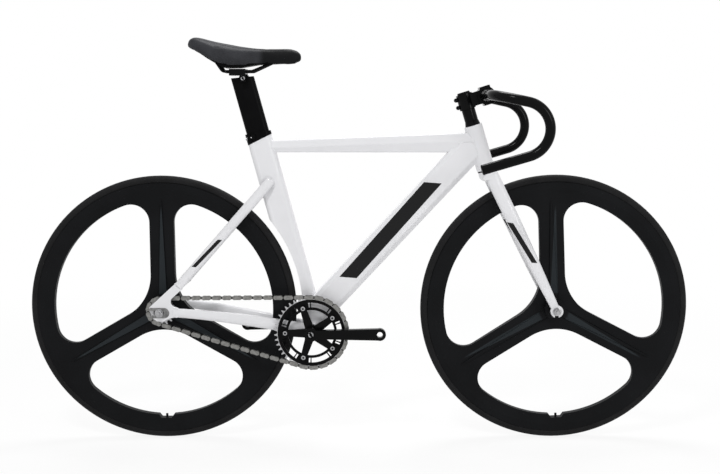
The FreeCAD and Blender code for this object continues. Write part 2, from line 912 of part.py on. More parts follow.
def axle_set(name, centre, axle_radius, axle_length, space, right_inner, left_inner, stack):
    """An axle with a spacer inside each dropout, and a washer and nut outside it."""
    side = space / 2
    node(f"{name}_axle", cylinder(f"{name}_axle_rod", axle_radius, axle_length,
                                  across(centre, -axle_length / 2)))
    hole = axle_radius + dim.running_gap
    spacers = []
    for label, start, gap in [("right", -side, side - right_inner), ("left", left_inner, side - left_inner)]:
        spacers.append(ring(f"{name}_spacer_{label}", dim.axle_spacer_radius, hole, gap,
                            across(centre, start)))
    node(f"{name}_axle_spacers", group(f"{name}_spacers", *spacers))
    face = side + stack
    washer = ring(f"{name}_washer", dim.washer_radius, hole, dim.washer_height,
                  across(centre, -face - dim.washer_height))
    nut_place = across(centre, -face - dim.washer_height - dim.nut_height)
    nut = cut(f"{name}_nut", hexagon(f"{name}_nut_body", dim.nut_across_flats, dim.nut_height, nut_place),
              cylinder(f"{name}_nut_hole", hole, dim.nut_height, nut_place))
    copies = [mirrored(f"{name}_washer", washer), mirrored(f"{name}_nut", nut)]
    node(f"{name}_axle_nuts", group(f"{name}_nuts", washer, nut, *copies))


hub_half = dim.hub_length / 2
thread_end = hub_half + dim.cog_thread_length
for name, centre, turn, axle_radius in [
    ("rear", rear_hub, 0, dim.rear_axle_radius),
    ("front", front_hub, dim.front_wheel_turn, dim.front_axle_radius),
]:
    at_rear = name == "rear"
    node(f"{name}_wheel_casting", wheel_casting(f"{name}_casting", centre, turn, at_rear))
    node(f"{name}_tyre", tyre(f"{name}_tyre", centre))
    node(f"{name}_inner_tube", inner_tube(f"{name}_tube", centre, turn))
    right_end = thread_end if at_rear else hub_half
    node(f"{name}_hub_bearings", bearing_pair(
        f"{name}_bearings", dim.bearing_radius, axle_radius + dim.running_gap, dim.bearing_width, centre,
        -right_end, hub_half - dim.bearing_width))

axle_set("rear", rear_hub, dim.rear_axle_radius, dim.rear_axle_length, dim.rear_hub_space,
         thread_end + dim.working_gap, hub_half + dim.working_gap,
         dim.dropout_thickness + dim.slot_face_thickness)
axle_set("front", front_hub, dim.front_axle_radius, dim.front_axle_length, dim.front_hub_space,
         hub_half + dim.working_gap, hub_half + dim.working_gap, dim.fork_tip_thickness)

# Bottom bracket

bracket_half = dim.bracket_width / 2
bracket_right = across(bracket, -bracket_half)
bracket_block = cylinder("bracket_block", dim.bracket_radius, dim.bracket_width, bracket_right)
node("bottom_bracket_shell", ring("bracket_shell", dim.bracket_radius, dim.bracket_bore, dim.bracket_width,
                                  bracket_right))
cartridge_radius = dim.bracket_bore - dim.running_gap
cartridge_bore = cartridge_radius - dim.cartridge_wall
flange_start = -bracket_half - dim.cartridge_flange
flanges = []
for label, start in [("right", flange_start), ("left", bracket_half)]:
    flanges.append(cylinder(f"cartridge_flange_{label}", dim.bracket_radius, dim.cartridge_flange,
                            across(bracket, start)))
cartridge = fuse("cartridge", *flanges,
                 cylinder("cartridge_sleeve", cartridge_radius, dim.bracket_width, bracket_right))
node("bottom_bracket_cartridge", cut(
    "cartridge", cartridge,
    cylinder("cartridge_bore", cartridge_bore, dim.bracket_width + 2 * dim.cartridge_flange,
             across(bracket, flange_start))))
node("bottom_bracket_bearings", bearing_pair(
    "bracket_bearings", cartridge_bore - dim.running_gap, dim.spindle_radius + dim.running_gap,
    dim.bracket_bearing_width, bracket, -bracket_half, bracket_half - dim.bracket_bearing_width))

# Seat tube, cut back around the rear tyre


def teardrop_rod(name, offset, start, length):
    body = new_body(name, seat_frame)
    sketch = sketch_on(body, "XY_Plane", start)
    teardrop(sketch, offset)
    pad(body, sketch, length)
    return body


def slanted(rear_height, front_height):
    """A plane across the seat tube that passes through a rear and a front height."""
    chord = dim.post_chord + 2 * dim.seat_tube_wall
    tilt = math.degrees(math.atan2(float(front_height) - float(rear_height), float(chord)))
    middle = Placement(vector(0, 0, (rear_height + front_height) / 2), Rotation(left, -tilt))
    return seat_frame * middle


def flipped(place):
    return place * Placement(Vector(0, 0, 0), Rotation(left, 2 * QUARTER_TURN))


seat_tube_foot = dim.bracket_radius / 2
tube_inside = dim.sliding_gap
tube_outside = dim.sliding_gap + dim.seat_tube_wall
tyre_space = dim.wheel_radius + dim.tyre_cutout_gap
tyre_side = across(rear_hub, -dim.rear_hub_space / 2)
seat_tube_top = slanted(dim.seat_tube_rear_top, dim.seat_tube_front_top)
seat_tube_block = cut(
    "seat_tube_block", teardrop_rod("seat_tube_rod", tube_outside, seat_tube_foot, dim.collar_rear_top),
    cylinder("tyre_space", tyre_space, dim.rear_hub_space, tyre_side),
    half_space("seat_tube_top", seat_tube_top))
seat_tube_cavity = cut(
    "seat_tube_cavity", teardrop_rod("seat_tube_core", tube_inside, seat_tube_foot, dim.collar_rear_top),
    cylinder("tyre_space_wall", tyre_space + dim.seat_tube_wall, dim.rear_hub_space, tyre_side))
node("seat_tube", cut("seat_tube", seat_tube_block, seat_tube_cavity, bracket_block))

# Seat collar with a slit and a pinch bolt on the drive side

collar_rod = teardrop_rod("collar_rod", dim.sliding_gap + dim.collar_wall, dim.seat_tube_rear_top,
                          dim.collar_rear_top - dim.seat_tube_rear_top + dim.collar_ear_height)
ear_height = dim.collar_front_top - dim.collar_ear_height
ear_place = seat_frame * Placement(
    vector(-dim.collar_slit_back, -dim.collar_ear_reach / 2, ear_height), Rotation())
collar_ear = box("collar_ear", dim.collar_ear_length, dim.collar_ear_reach, dim.collar_ear_height,
                 ear_place)
collar_hole = teardrop_rod("collar_hole", dim.sliding_gap, dim.seat_tube_rear_top / 2, dim.collar_rear_top)
slit_place = seat_frame * Placement(vector(-dim.collar_slit_back, -dim.collar_ear_reach, 0), Rotation())
collar_slit = box("collar_slit", dim.collar_slit, 2 * dim.collar_ear_reach, dim.wheelbase, slit_place)
bolt_side = dim.collar_ear_reach - dim.collar_bolt_head_radius
bolt_back = -dim.collar_slit_back - dim.collar_ear_length / 2
bolt_start = seat_frame * Placement(
    vector(bolt_back, -bolt_side, ear_height + dim.collar_ear_height / 2), Rotation(left, QUARTER_TURN))
bolt_hole = cylinder("collar_bolt_hole", dim.collar_bolt_radius, dim.collar_ear_length, bolt_start)
node("seat_collar", cut(
    "seat_collar", fuse("seat_collar", collar_rod, collar_ear), collar_hole, collar_slit, bolt_hole,
    half_space("collar_top", slanted(dim.collar_rear_top, dim.collar_front_top)),
    half_space("collar_foot", flipped(seat_tube_top))))
node("seat_collar_bolt", fuse(
    "seat_collar_bolt",
    cylinder("collar_bolt_shank", dim.collar_bolt_radius, dim.collar_ear_length, bolt_start),
    cylinder("collar_bolt_head", dim.collar_bolt_head_radius, dim.collar_bolt_head,
             bolt_start * Placement(vector(0, 0, -dim.collar_bolt_head), Rotation()))))

# Head tube

head_foot = -dim.head_tube_length
head_block = cylinder("head_block", dim.head_tube_radius, dim.head_tube_length, steer_at(head_foot))
bearing_seat = dim.headset_bearing_radius + dim.running_gap
seat_depth = dim.headset_bearing_height + dim.working_gap
node("head_tube", cut(
    "head_tube", head_block,
    cylinder("head_bore", dim.head_tube_bore, dim.head_tube_length, steer_at(head_foot)),
    cylinder("head_seat_upper", bearing_seat, seat_depth, steer_at(-seat_depth)),
    cylinder("head_seat_lower", bearing_seat, seat_depth, steer_at(head_foot))))
node("headset_bearings", group(
    "headset_bearings",
    ring("headset_upper", dim.headset_bearing_radius, dim.headset_bearing_bore, dim.headset_bearing_height,
         steer_at(-seat_depth)),
    ring("headset_lower", dim.headset_bearing_radius, dim.headset_bearing_bore, dim.headset_bearing_height,
         steer_at(head_foot + dim.working_gap))))

# Down tube: flat sides, bevelled along the top and along the keel

down_top = steer_point(0, -dim.down_tube_head_drop)
to_bracket = bracket - down_top
offset_angle = math.asin(float(dim.down_tube_bracket_offset) / to_bracket.Length)
down_axis = Rotation(left, math.degrees(offset_angle)).multVec(to_bracket).normalize()
down_length = to_bracket.Length * math.cos(offset_angle) - float(dim.head_tube_radius) / 2
down_foot = down_top + down_axis * to_bracket.Length * math.cos(offset_angle)
down_frame = frame_at(down_foot, -down_axis, upward)


def down_tube_outline(body, inset):
    sketch = sketch_on(body, "XY_Plane")
    half_depth = dim.down_tube_depth / 2 - inset
    half_width = dim.down_tube_width / 2 - inset
    top_flat = dim.down_tube_top_flat / 2 - inset / 2
    keel_flat = dim.down_tube_keel_flat / 2 - inset / 2
    top_edge = half_depth - dim.down_tube_top_bevel
    keel_edge = half_depth - dim.down_tube_keel_bevel
    right_half = [(half_depth, top_flat), (top_edge, half_width), (-keel_edge, half_width),
                  (-half_depth, keel_flat)]
    outline(sketch, right_half + [(rise, -side) for rise, side in right_half[::-1]])
    return sketch


down_body = new_body("down_tube_body", down_frame)
down_pad = pad(down_body, down_tube_outline(down_body, as_size(0)), down_length)
doc.recompute()
round_edges(down_body, down_pad, long_edges(down_pad.Shape, 2 * dim.down_tube_depth), dim.down_tube_edge)
down_core = new_body("down_tube_core", down_frame)
pad(down_core, down_tube_outline(down_core, dim.frame_wall), down_length)
seat_tube_solid = teardrop_rod("seat_tube_solid", tube_outside, seat_tube_foot, dim.collar_rear_top)
behind_seat_tube = half_space("behind_seat_tube", frame_at(
    bracket, seat_frame.Rotation.multVec(Vector(-1, 0, 0)), seat_up))
crease_rear = vector(seat_point(0, dim.top_tube_rear_crease).x, 0,
                     bracket.z + float(dim.top_tube_rear_crease))
front_crease = dim.frame_stack - dim.top_tube_front_crease
crease_front = vector(steer_point(0, -dim.top_tube_front_crease).x, 0, bracket.z + float(front_crease))
crease_way = (crease_front - crease_rear).normalize()
above_crease = half_space("above_crease", frame_at(crease_front, crease_way.cross(left), crease_way))
down_solid = cut("down_solid", down_body, above_crease)
node("down_tube", cut("down_tube", down_solid, down_core, behind_seat_tube, bracket_block, seat_tube_solid,
                      head_block))

# Top tube: a crease along each side, taller toward the head tube


def top_tube_outline(body, at, top, crease, foot, width, inset):
    sketch = sketch_on(body, "YZ_Plane", at)
    flat_share = 0.6
    half = width / 2 - inset
    flat = width / 2 * flat_share - inset / 2
    rounded_outline(sketch, [
        (flat, top - inset), (half, crease), (flat, foot + inset),
        (-flat, foot + inset), (-half, crease), (-flat, top - inset),
    ], dim.top_tube_edge - inset)
    return sketch


def top_tube_loft(name, inset):
    body = new_body(name, Placement(bracket, Rotation()))
    rear_at = crease_rear.x - bracket.x
    front_at = crease_front.x - bracket.x
    rear = top_tube_outline(body, rear_at, dim.top_tube_rear_top, dim.top_tube_rear_crease,
                            dim.top_tube_rear_bottom, dim.top_tube_rear_width, inset)
    front = top_tube_outline(body, front_at, dim.frame_stack - dim.top_tube_front_top, front_crease,
                             dim.frame_stack - dim.top_tube_front_bottom, dim.top_tube_front_width, inset)
    made = body.newObject("PartDesign::AdditiveLoft", f"{name}_loft")
    made.Profile = rear
    made.Sections = [front]
    made.Ruled = True
    return body


top_body = top_tube_loft("top_tube_body", as_size(0))
top_core = top_tube_loft("top_tube_core", dim.frame_wall)
node("top_tube", cut("top_tube", top_body, top_core, seat_tube_solid, head_block, down_solid))

# Rear dropouts with an open slot and a bare metal face

dropout_inner = dim.rear_hub_space / 2
dropout_place = Placement(vector(rear_hub.x, -dropout_inner, rear_hub.z), Rotation())
dropout_body = new_body("dropout_body", dropout_place)
dropout_sketch = sketch_on(dropout_body, "XZ_Plane")
DROPOUT_SHARES = [
    (-0.50, 0.29), (0.83, 1.50), (1.17, 1.21), (0.60, 0.69), (0.60, 0.37), (0.96, 0.25),
    (0.96, -0.21), (0.50, -0.29), (0.17, -0.46), (-0.12, -0.44), (-0.37, -0.25),
]
DROPOUT_REACH = dim.seatstay_foot_forward
dropout_points = [(DROPOUT_REACH * x_share, DROPOUT_REACH * z_share) for x_share, z_share in DROPOUT_SHARES]
outline(dropout_sketch, dropout_points)
dropout_pad = pad(dropout_body, dropout_sketch, dim.dropout_thickness)
doc.recompute()


def sideways_edges(shape, points):
    """Names of the sideways edges that pass through given points of a plate."""
    names = []
    for number, edge in enumerate(shape.Edges, 1):
        middle = edge.BoundBox.Center
        for x, z in points:
            if math.hypot(middle.x - float(x), middle.z - float(z)) < float(dim.working_gap):
                names.append(f"Edge{number}")
    return names


round_edges(dropout_body, dropout_pad, sideways_edges(dropout_pad.Shape, dropout_points[3:5]),
            dim.dropout_notch_radius)


def slot_tool(name, front_by, height, rear_by, side, thickness):
    """A slot-shaped block with a round front end."""
    front_centre = vector(rear_hub.x + float(front_by) - float(height) / 2, 0, rear_hub.z)
    reach = front_by - height / 2 + rear_by
    middle = vector(front_centre.x - float(reach) / 2, 0, rear_hub.z)
    bar = box(f"{name}_bar", reach, height, thickness, across(middle, side))
    nose = cylinder(f"{name}_nose", height / 2, thickness, across(front_centre, side))
    return fuse(name, bar, nose)


slot_depth = dim.dropout_thickness + dim.slot_face_thickness
slot_cut = slot_tool("slot_cut", dim.slot_front, dim.slot_height, 2 * dim.slot_face_rear,
                     -dropout_inner - slot_depth, slot_depth)
dropout_right = cut("dropout_plate", dropout_body, slot_cut)
node("dropouts", pair("dropouts", dropout_right))
slot_face = slot_tool("slot_face", dim.slot_face_front, dim.slot_face_height, dim.slot_face_rear,
                      -dropout_inner - slot_depth, dim.slot_face_thickness)
node("dropout_slot_faces", pair("slot_faces", cut("slot_face", slot_face, slot_cut)))

# Stays


def stay(name, stations, inset):
    """A tapering oval tube through stations of centre, half height and half width."""
    sections = []
    count = len(stations)
    for number, (centre, half_height, half_width) in enumerate(stations):
        before = stations[max(number - 1, 0)][0]
        after = stations[min(number + 1, count - 1)][0]
        along = after - before
        rise = Vector(0, 1, 0).cross(along)
        if rise.z < 0:
            rise = -rise
        place = frame_at(centre, along, rise)
        sections.append(ellipse(name, half_height - inset, half_width - inset, place))
    return loft(name, sections)


CHAINSTAY_SHARES = [
    # along, rise, spread, height, width
    (0.030, 0.07, 0.400, 0.97, 0.92),
    (0.250, 0.33, 0.440, 1.00, 0.92),
    (0.580, 0.73, 0.760, 0.88, 0.96),
    (0.910, 1.00, 1.055, 0.74, 0.86),
]
chainstay_stations = []
for along_share, rise_share, spread_share, height_share, width_share in CHAINSTAY_SHARES:
    centre = vector(bracket.x - stay_run * along_share, -dropout_inner * spread_share,
                    bracket.z + float(dim.bracket_drop) * rise_share)
    chainstay_stations.append(
        (centre, dim.chainstay_height / 2 * height_share, dim.chainstay_width / 2 * width_share))
chainstay_right = cut(
    "chainstay", stay("chainstay_wall", chainstay_stations, 0),
    stay("chainstay_core", chainstay_stations, dim.stay_wall), bracket_block, seat_tube_solid, dropout_body)
node("chainstays", pair("chainstays", chainstay_right))

seatstay_foot = vector(rear_hub.x + float(dim.seatstay_foot_forward),
                       -dropout_inner - dim.dropout_thickness / 2,
                       rear_hub.z + float(dim.seatstay_foot_up))
seatstay_head = seat_point(-dim.seatstay_top_back, dim.seatstay_top, -dim.seatstay_top_spread / 2)
SEATSTAY_SHARES = [
    # along, height, width
    (0.00, 0.90, 0.93),
    (0.50, 0.97, 1.00),
    (1.00, 1.00, 1.00),
]
seatstay_stations = []
for along_share, height_share, width_share in SEATSTAY_SHARES:
    centre = seatstay_foot + (seatstay_head - seatstay_foot) * along_share
    seatstay_stations.append(
        (centre, dim.seatstay_height / 2 * height_share, dim.seatstay_width / 2 * width_share))
seatstay_cap = doc.addObject("Part::Ellipsoid", "seatstay_cap")
bind(seatstay_cap, Radius1=dim.seatstay_width / 2, Radius2=dim.seatstay_height / 2,
     Radius3=dim.seatstay_width / 2)
seatstay_cap.Angle1 = -QUARTER_TURN
seatstay_rise = left.cross(seatstay_head - seatstay_foot)
seatstay_cap.Placement = frame_at(seatstay_head, seatstay_head - seatstay_foot, seatstay_rise)
seatstay_right = cut(
    "seatstay", fuse("seatstay", stay("seatstay_wall", seatstay_stations, 0), seatstay_cap),
    stay("seatstay_core", seatstay_stations, dim.stay_wall), seat_tube_solid, dropout_body)
node("seatstays", pair("seatstays", seatstay_right))

# Fork

crown_level = -dim.crown_drop
head_end = -dim.head_tube_length - dim.working_gap
CROWN_SHARES = [
    # side, length, height
    (-1.00, 0.70, 0.55),
    (-0.55, 0.90, 0.85),
    (0.00, 1.00, 1.00),
    (0.55, 0.90, 0.85),
    (1.00, 0.70, 0.55),
]
crown_sections = []
for side_share, length_share, height_share in CROWN_SHARES:
    place = frame_at(steer_point(0, crown_level, dim.crown_width / 2 * side_share), left,
                     steer_frame.Rotation.multVec(forward))
    crown_sections.append(ellipse("crown", dim.crown_length / 2 * length_share,
                                  dim.crown_height / 2 * height_share, place))
crown_seat_height = dim.crown_drop - dim.head_tube_length - dim.working_gap - dim.race_height
crown_block = fuse("crown", loft("crown", crown_sections),
                   cylinder("crown_seat", dim.crown_seat_radius, crown_seat_height, steer_at(crown_level)))
stem_foot = dim.cover_height + 3 * dim.spacer_height
steerer_foot = crown_level - dim.crown_height / 4
steerer_top = stem_foot + dim.stem_height - dim.working_gap
steerer_length = steerer_top - steerer_foot
steerer_block = cylinder("steerer_block", dim.steerer_radius, steerer_length, steer_at(steerer_foot))
node("fork_steerer", cut("fork_steerer", steerer_block,
                         cylinder("steerer_bore", dim.steerer_radius - dim.steerer_wall, steerer_length,
                                  steer_at(steerer_foot))))
node("fork_crown", cut("fork_crown", crown_block, steerer_block))

blade_foot = vector(front_hub.x, -dim.front_hub_space / 2 - dim.fork_tip_thickness / 2, front_hub.z)
blade_head = steer_point(dim.blade_top_forward, crown_level, -dim.blade_top_spread / 2)
BLADE_SHARES = [
    # along, chord, width
    (0.00, 1.00, 1.00),
    (0.45, 0.95, 0.90),
    (0.75, 0.78, 0.75),
    (0.97, 0.58, 0.60),
]


def blade(name, inset):
    sections = []
    along = blade_foot - blade_head
    chord_way = left.cross(along)
    for along_share, chord_share, width_share in BLADE_SHARES:
        sections.append(ellipse(name, dim.blade_chord / 2 * chord_share - inset,
                                dim.blade_width / 2 * width_share - inset,
                                frame_at(blade_head + along * along_share, along, chord_way)))
    return loft(name, sections)


tip_start = -dim.front_hub_space / 2 - dim.fork_tip_thickness
fork_tip = cylinder("fork_tip", dim.fork_tip_radius, dim.fork_tip_thickness, across(front_hub, tip_start))
tip_slot = dim.front_axle_radius + dim.sliding_gap
slot_frame = frame_at(vector(front_hub.x, tip_start - dim.fork_tip_thickness, front_hub.z), left, -upward)
slot_frame = slot_frame * Placement(vector(dim.fork_tip_radius / 2, 0, 0), Rotation())
tip_depth = 3 * dim.fork_tip_thickness
tip_cut = fuse("tip_cut", box("tip_cut_bar", dim.fork_tip_radius, 2 * tip_slot, tip_depth, slot_frame),
               cylinder("tip_cut_round", tip_slot, tip_depth,
                        across(front_hub, tip_start - dim.fork_tip_thickness)))
tip_room = box("tip_room", 2 * dim.fork_tip_radius, 4 * dim.fork_tip_radius, dim.blade_width,
               frame_at(vector(front_hub.x, tip_start - dim.blade_width, front_hub.z), left, forward))
blade_cap = doc.addObject("Part::Ellipsoid", "blade_cap")
bind(blade_cap, Radius1=dim.blade_cap_height, Radius2=dim.blade_chord / 2, Radius3=dim.blade_width / 2)
blade_cap.Angle1 = -QUARTER_TURN
blade_rise = blade_head - blade_foot
blade_cap.Placement = frame_at(blade_head, blade_rise, left.cross(blade_rise))
blade_end = cut("blade_end", fuse("blade_wall", blade("blade_wall", 0), blade_cap), tip_room)
blade_right = cut("blade", fuse("blade", blade_end, fork_tip), blade("blade_core", dim.blade_wall),
                  tip_cut, crown_block, steerer_block)
node("fork_blades", pair("fork_blades", blade_right))

# Headset pieces that turn with the fork

spacer_hole = dim.steerer_radius + dim.running_gap
race_foot = head_end - dim.race_height
race_neck = dim.race_height + dim.working_gap + dim.headset_bearing_height
node("crown_race", cut(
    "crown_race",
    fuse("crown_race",
         cylinder("race_flange", dim.crown_seat_radius, dim.race_height, steer_at(race_foot)),
         cylinder("race_neck", dim.headset_bearing_bore - dim.running_gap, race_neck, steer_at(race_foot))),
    cylinder("race_hole", spacer_hole, race_neck, steer_at(race_foot))))
node("compression_ring", ring("compression_ring", dim.headset_bearing_bore - dim.running_gap, spacer_hole,
                              seat_depth, steer_at(-seat_depth)))
cover_foot = dim.working_gap
cover_rise = dim.cover_height - dim.working_gap
cover_cone = cone("cover_cone", dim.cover_foot_radius, dim.spacer_radius, cover_rise, steer_at(cover_foot))
node("headset_cover", cut("headset_cover", cover_cone,
                          cylinder("cover_hole", spacer_hole, cover_rise, steer_at(cover_foot))))
node("headset_spacers", group("headset_spacers", *[
    ring(f"spacer_{number}", dim.spacer_radius, spacer_hole, dim.spacer_height,
         steer_at(dim.cover_height + number * dim.spacer_height)) for number in range(3)]))

# Stem

bar_centre = steer_point(dim.stem_length, stem_foot + dim.stem_height / 2)
stem_level = stem_foot + dim.stem_height / 2
stem_way = steer_frame.Rotation.multVec(forward)
stem_side = -dim.bar_clamp_width / 2
bar_clamp_hole = dim.bar_centre_radius + 2 * dim.running_gap
clamp_block = cylinder("bar_clamp_block", dim.bar_clamp_radius, dim.bar_clamp_width,
                       across(bar_centre, stem_side))
neck_foot = vector(dim.stem_length / 2, 0, stem_level - dim.stem_neck_height / 2)
neck_place = steer_frame * Placement(neck_foot, Rotation())
stem_neck = box("stem_neck", dim.stem_length, dim.stem_neck_width, dim.stem_neck_height, neck_place)
pinch_back = dim.stem_clamp_radius + dim.stem_bolt_radius
pinch_width = 2 * dim.stem_bolt_head_radius + dim.stem_split
bar_hole = cylinder("bar_clamp_hole", bar_clamp_hole, dim.bar_clamp_width, across(bar_centre, stem_side))
steer_hole = cylinder("stem_hole", spacer_hole, dim.stem_height, steer_at(stem_foot))
split_slot = box("stem_split_slot", 2 * dim.stem_clamp_radius, dim.stem_split, dim.stem_height,
                 steer_frame * Placement(vector(-dim.stem_clamp_radius, 0, stem_foot), Rotation()))
clamp_face = bar_centre + stem_way * (float(dim.stem_split) / 2)
clamp_front = half_space("clamp_front", frame_at(clamp_face, stem_way, left))
face_back = half_space("face_back", frame_at(clamp_face, -stem_way, left))
bolt_columns = [-1, 1]
face_bolts = []
bolt_start_by = dim.bar_clamp_radius / 2
bolt_reach = 2 * bolt_start_by - dim.stem_bolt_radius
bolt_half_share = 0.86
bolt_rise = dim.bar_clamp_radius * bolt_half_share
for across_sign in bolt_columns:
    for up_sign in bolt_columns:
        head_from = steer_point(dim.stem_length + bolt_start_by, stem_level + up_sign * bolt_rise,
                                across_sign * dim.stem_bolt_spread / 2)
        number = len(face_bolts)
        shank = cylinder(f"face_bolt_shank_{number}", dim.stem_bolt_radius, bolt_reach,
                         frame_at(head_from, -stem_way, left))
        head = cylinder(f"face_bolt_head_{number}", dim.stem_bolt_head_radius, dim.stem_bolt_head,
                        frame_at(head_from, stem_way, left))
        face_bolts.append(fuse(f"face_bolt_{number}", shank, head))
boss_rise = bolt_rise + dim.stem_bolt_head_radius
face_boss = box("face_boss", 2 * bolt_start_by, dim.bar_clamp_width - 2 * dim.stem_bolt_radius, 2 * boss_rise,
                steer_frame * Placement(vector(dim.stem_length, 0, stem_level - boss_rise), Rotation()))
pinch_bolts = []
pinch_bosses = []
PINCH_SHARES = (0.25, 0.75)
for up_share in PINCH_SHARES:
    middle = steer_point(-pinch_back, stem_foot + dim.stem_height * up_share)
    number = len(pinch_bolts)
    shank = cylinder(f"pinch_shank_{number}", dim.stem_bolt_radius, pinch_width,
                     across(middle, -pinch_width / 2))
    head = cylinder(f"pinch_head_{number}", dim.stem_bolt_head_radius, dim.stem_bolt_head,
                    across(middle, -pinch_width / 2 - dim.stem_bolt_head))
    pinch_bolts.append(fuse(f"pinch_bolt_{number}", shank, head))
    pinch_bosses.append(cylinder(f"pinch_boss_{number}", dim.stem_bolt_head_radius + dim.stem_split / 2,
                                 pinch_width, across(middle, -pinch_width / 2)))
stem_clamp = cylinder("stem_clamp", dim.stem_clamp_radius, dim.stem_height, steer_at(stem_foot))
stem_block = fuse("stem", stem_clamp, stem_neck, clamp_block, face_boss, *pinch_bosses)
node("stem_body", cut("stem_body", stem_block, clamp_front, bar_hole, steer_hole, split_slot,
                      *face_bolts, *pinch_bolts))
node("stem_faceplate", cut("stem_faceplate", fuse("faceplate", clamp_block, face_boss), face_back, bar_hole,
                           *face_bolts))
node("stem_bolts", group("stem_bolts", *face_bolts, *pinch_bolts))
cap_foot = stem_foot + dim.stem_height
cap_bolt_radius = dim.stem_bolt_radius + dim.running_gap
cap_block = cone("top_cap_block", dim.spacer_radius, dim.spacer_radius - dim.top_cap_height / 3,
                 dim.top_cap_height, steer_at(cap_foot))
node("top_cap", cut(
    "top_cap", cap_block,
    cylinder("top_cap_hole", cap_bolt_radius, dim.top_cap_height, steer_at(cap_foot)),
    cylinder("top_cap_recess", dim.stem_bolt_head_radius + dim.running_gap, dim.top_cap_height,
             steer_at(cap_foot + dim.top_cap_height / 2))))
cap_bolt_length = dim.stem_height
node("top_cap_bolt", fuse(
    "top_cap_bolt",
    cylinder("cap_bolt_shank", dim.stem_bolt_radius, cap_bolt_length,
             steer_at(cap_foot + dim.top_cap_height / 2 - cap_bolt_length)),
    cylinder("cap_bolt_head", dim.stem_bolt_head_radius, dim.top_cap_height / 2,
             steer_at(cap_foot + dim.top_cap_height / 2))))
node("star_nut", ring("star_nut", dim.steerer_radius - dim.steerer_wall - dim.running_gap,
                      cap_bolt_radius, dim.spacer_height, steer_at(cap_foot - cap_bolt_length)))

# Handlebar


def bar_point(forward_by, up_by, side):
    return bar_centre + vector(forward_by, side, up_by)


def bar_path(side):
    """The run from the stem to the end of one drop."""
    half = side * float(dim.bar_half_width)
    hook_radius = float(dim.bar_hook_radius)
    ramp = math.radians(float(dim.bar_ramp_angle))
    end_tilt = math.radians(float(dim.bar_end_angle))
    hook_start_x = float(dim.bar_hook_forward) + hook_radius * math.sin(ramp)
    ramp_drop = hook_start_x * math.tan(ramp)
    hook_centre = bar_point(dim.bar_hook_forward, -ramp_drop - hook_radius * math.cos(ramp), half)
    hook_start = bar_point(hook_start_x, -ramp_drop, half)
    hook_middle = hook_centre + vector(hook_radius, 0, 0)
    hook_end = hook_centre + vector(hook_radius * math.sin(end_tilt), 0, -hook_radius * math.cos(end_tilt))
    way = vector(-math.cos(end_tilt), 0, -math.sin(end_tilt))
    tip = hook_end + way * float(dim.bar_end_length)
    top = bent_wire([bar_point(0, 0, 0), bar_point(0, 0, half), hook_start], [dim.bar_bend_radius])
    edges = top.Edges + [Part.Arc(hook_start, hook_middle, hook_end).toShape(),
                         Part.LineSegment(hook_end, tip).toShape()]
    return Part.Wire(edges), tip, way


def bar_half(name, side, radius):
    wire, tip, way = bar_path(side)
    spine = solid_of(f"{name}_spine", wire)
    return swept_tube(name, spine, radius, bar_centre, Vector(0, side, 0))


bar_hollow = dim.bar_radius - dim.bar_wall
centre_half = dim.bar_centre_width / 2
bar_sleeve = [
    cylinder("bar_sleeve", dim.bar_centre_radius, dim.bar_centre_width, across(bar_centre, -centre_half)),
    cone("bar_taper_left", dim.bar_centre_radius, dim.bar_radius, dim.bar_centre_taper,
         across(bar_centre, centre_half)),
    cone("bar_taper_right", dim.bar_radius, dim.bar_centre_radius, dim.bar_centre_taper,
         across(bar_centre, -centre_half - dim.bar_centre_taper)),
]
bar_solid = fuse("handlebar", bar_half("bar_right", -1, dim.bar_radius),
                 bar_half("bar_left", 1, dim.bar_radius), *bar_sleeve)
node("handlebar", cut("handlebar", bar_solid, bar_half("bar_bore_right", -1, bar_hollow),
                      bar_half("bar_bore_left", 1, bar_hollow)))
plugs = []
for side in (-1, 1):
    wire, tip, way = bar_path(side)
    plug_frame = frame_at(tip, way, left)
    inward = frame_at(tip, -way, left)
    plugs.append(fuse(
        f"plug_{len(plugs)}",
        cylinder(f"plug_flange_{len(plugs)}", dim.bar_radius, dim.plug_flange, plug_frame),
        cylinder(f"plug_stem_{len(plugs)}", bar_hollow - dim.running_gap, dim.plug_depth, inward)))
node("bar_end_plugs", group("bar_end_plugs", *plugs))

# Seatpost

clamp_pivot = seat_point(dim.clamp_bolt_forward, dim.clamp_bolt_up)
post_width = 2 * dim.post_nose_radius
post_bar = teardrop_rod("post_bar", as_size(0), dim.post_foot, dim.post_rear_top - dim.post_foot)
post_rod = cut("post_rod", post_bar, half_space("post_top", slanted(dim.post_rear_top, dim.post_front_top)))
post_core = teardrop_rod("post_core", -dim.post_wall, dim.post_foot,
                         dim.post_front_top - dim.post_foot - 2 * dim.clamp_head_radius)
post_head = cylinder("post_head", dim.clamp_head_radius, post_width, across(clamp_pivot, -post_width / 2))
clamp_hole = dim.clamp_bolt_radius + dim.running_gap
clamp_bolt_hole = cylinder("clamp_bolt_hole", clamp_hole, THROUGH, across(clamp_pivot, -THROUGH / 2))
node("seatpost", cut("seatpost", fuse("seatpost", post_rod, post_head), post_core, clamp_bolt_hole))

# Saddle clamp: a cradle between the rails, a plate outside each rail and a bolt across


def saddle_point(forward_by, up_by, side=0):
    return clamp_pivot + vector(forward_by, side, up_by)


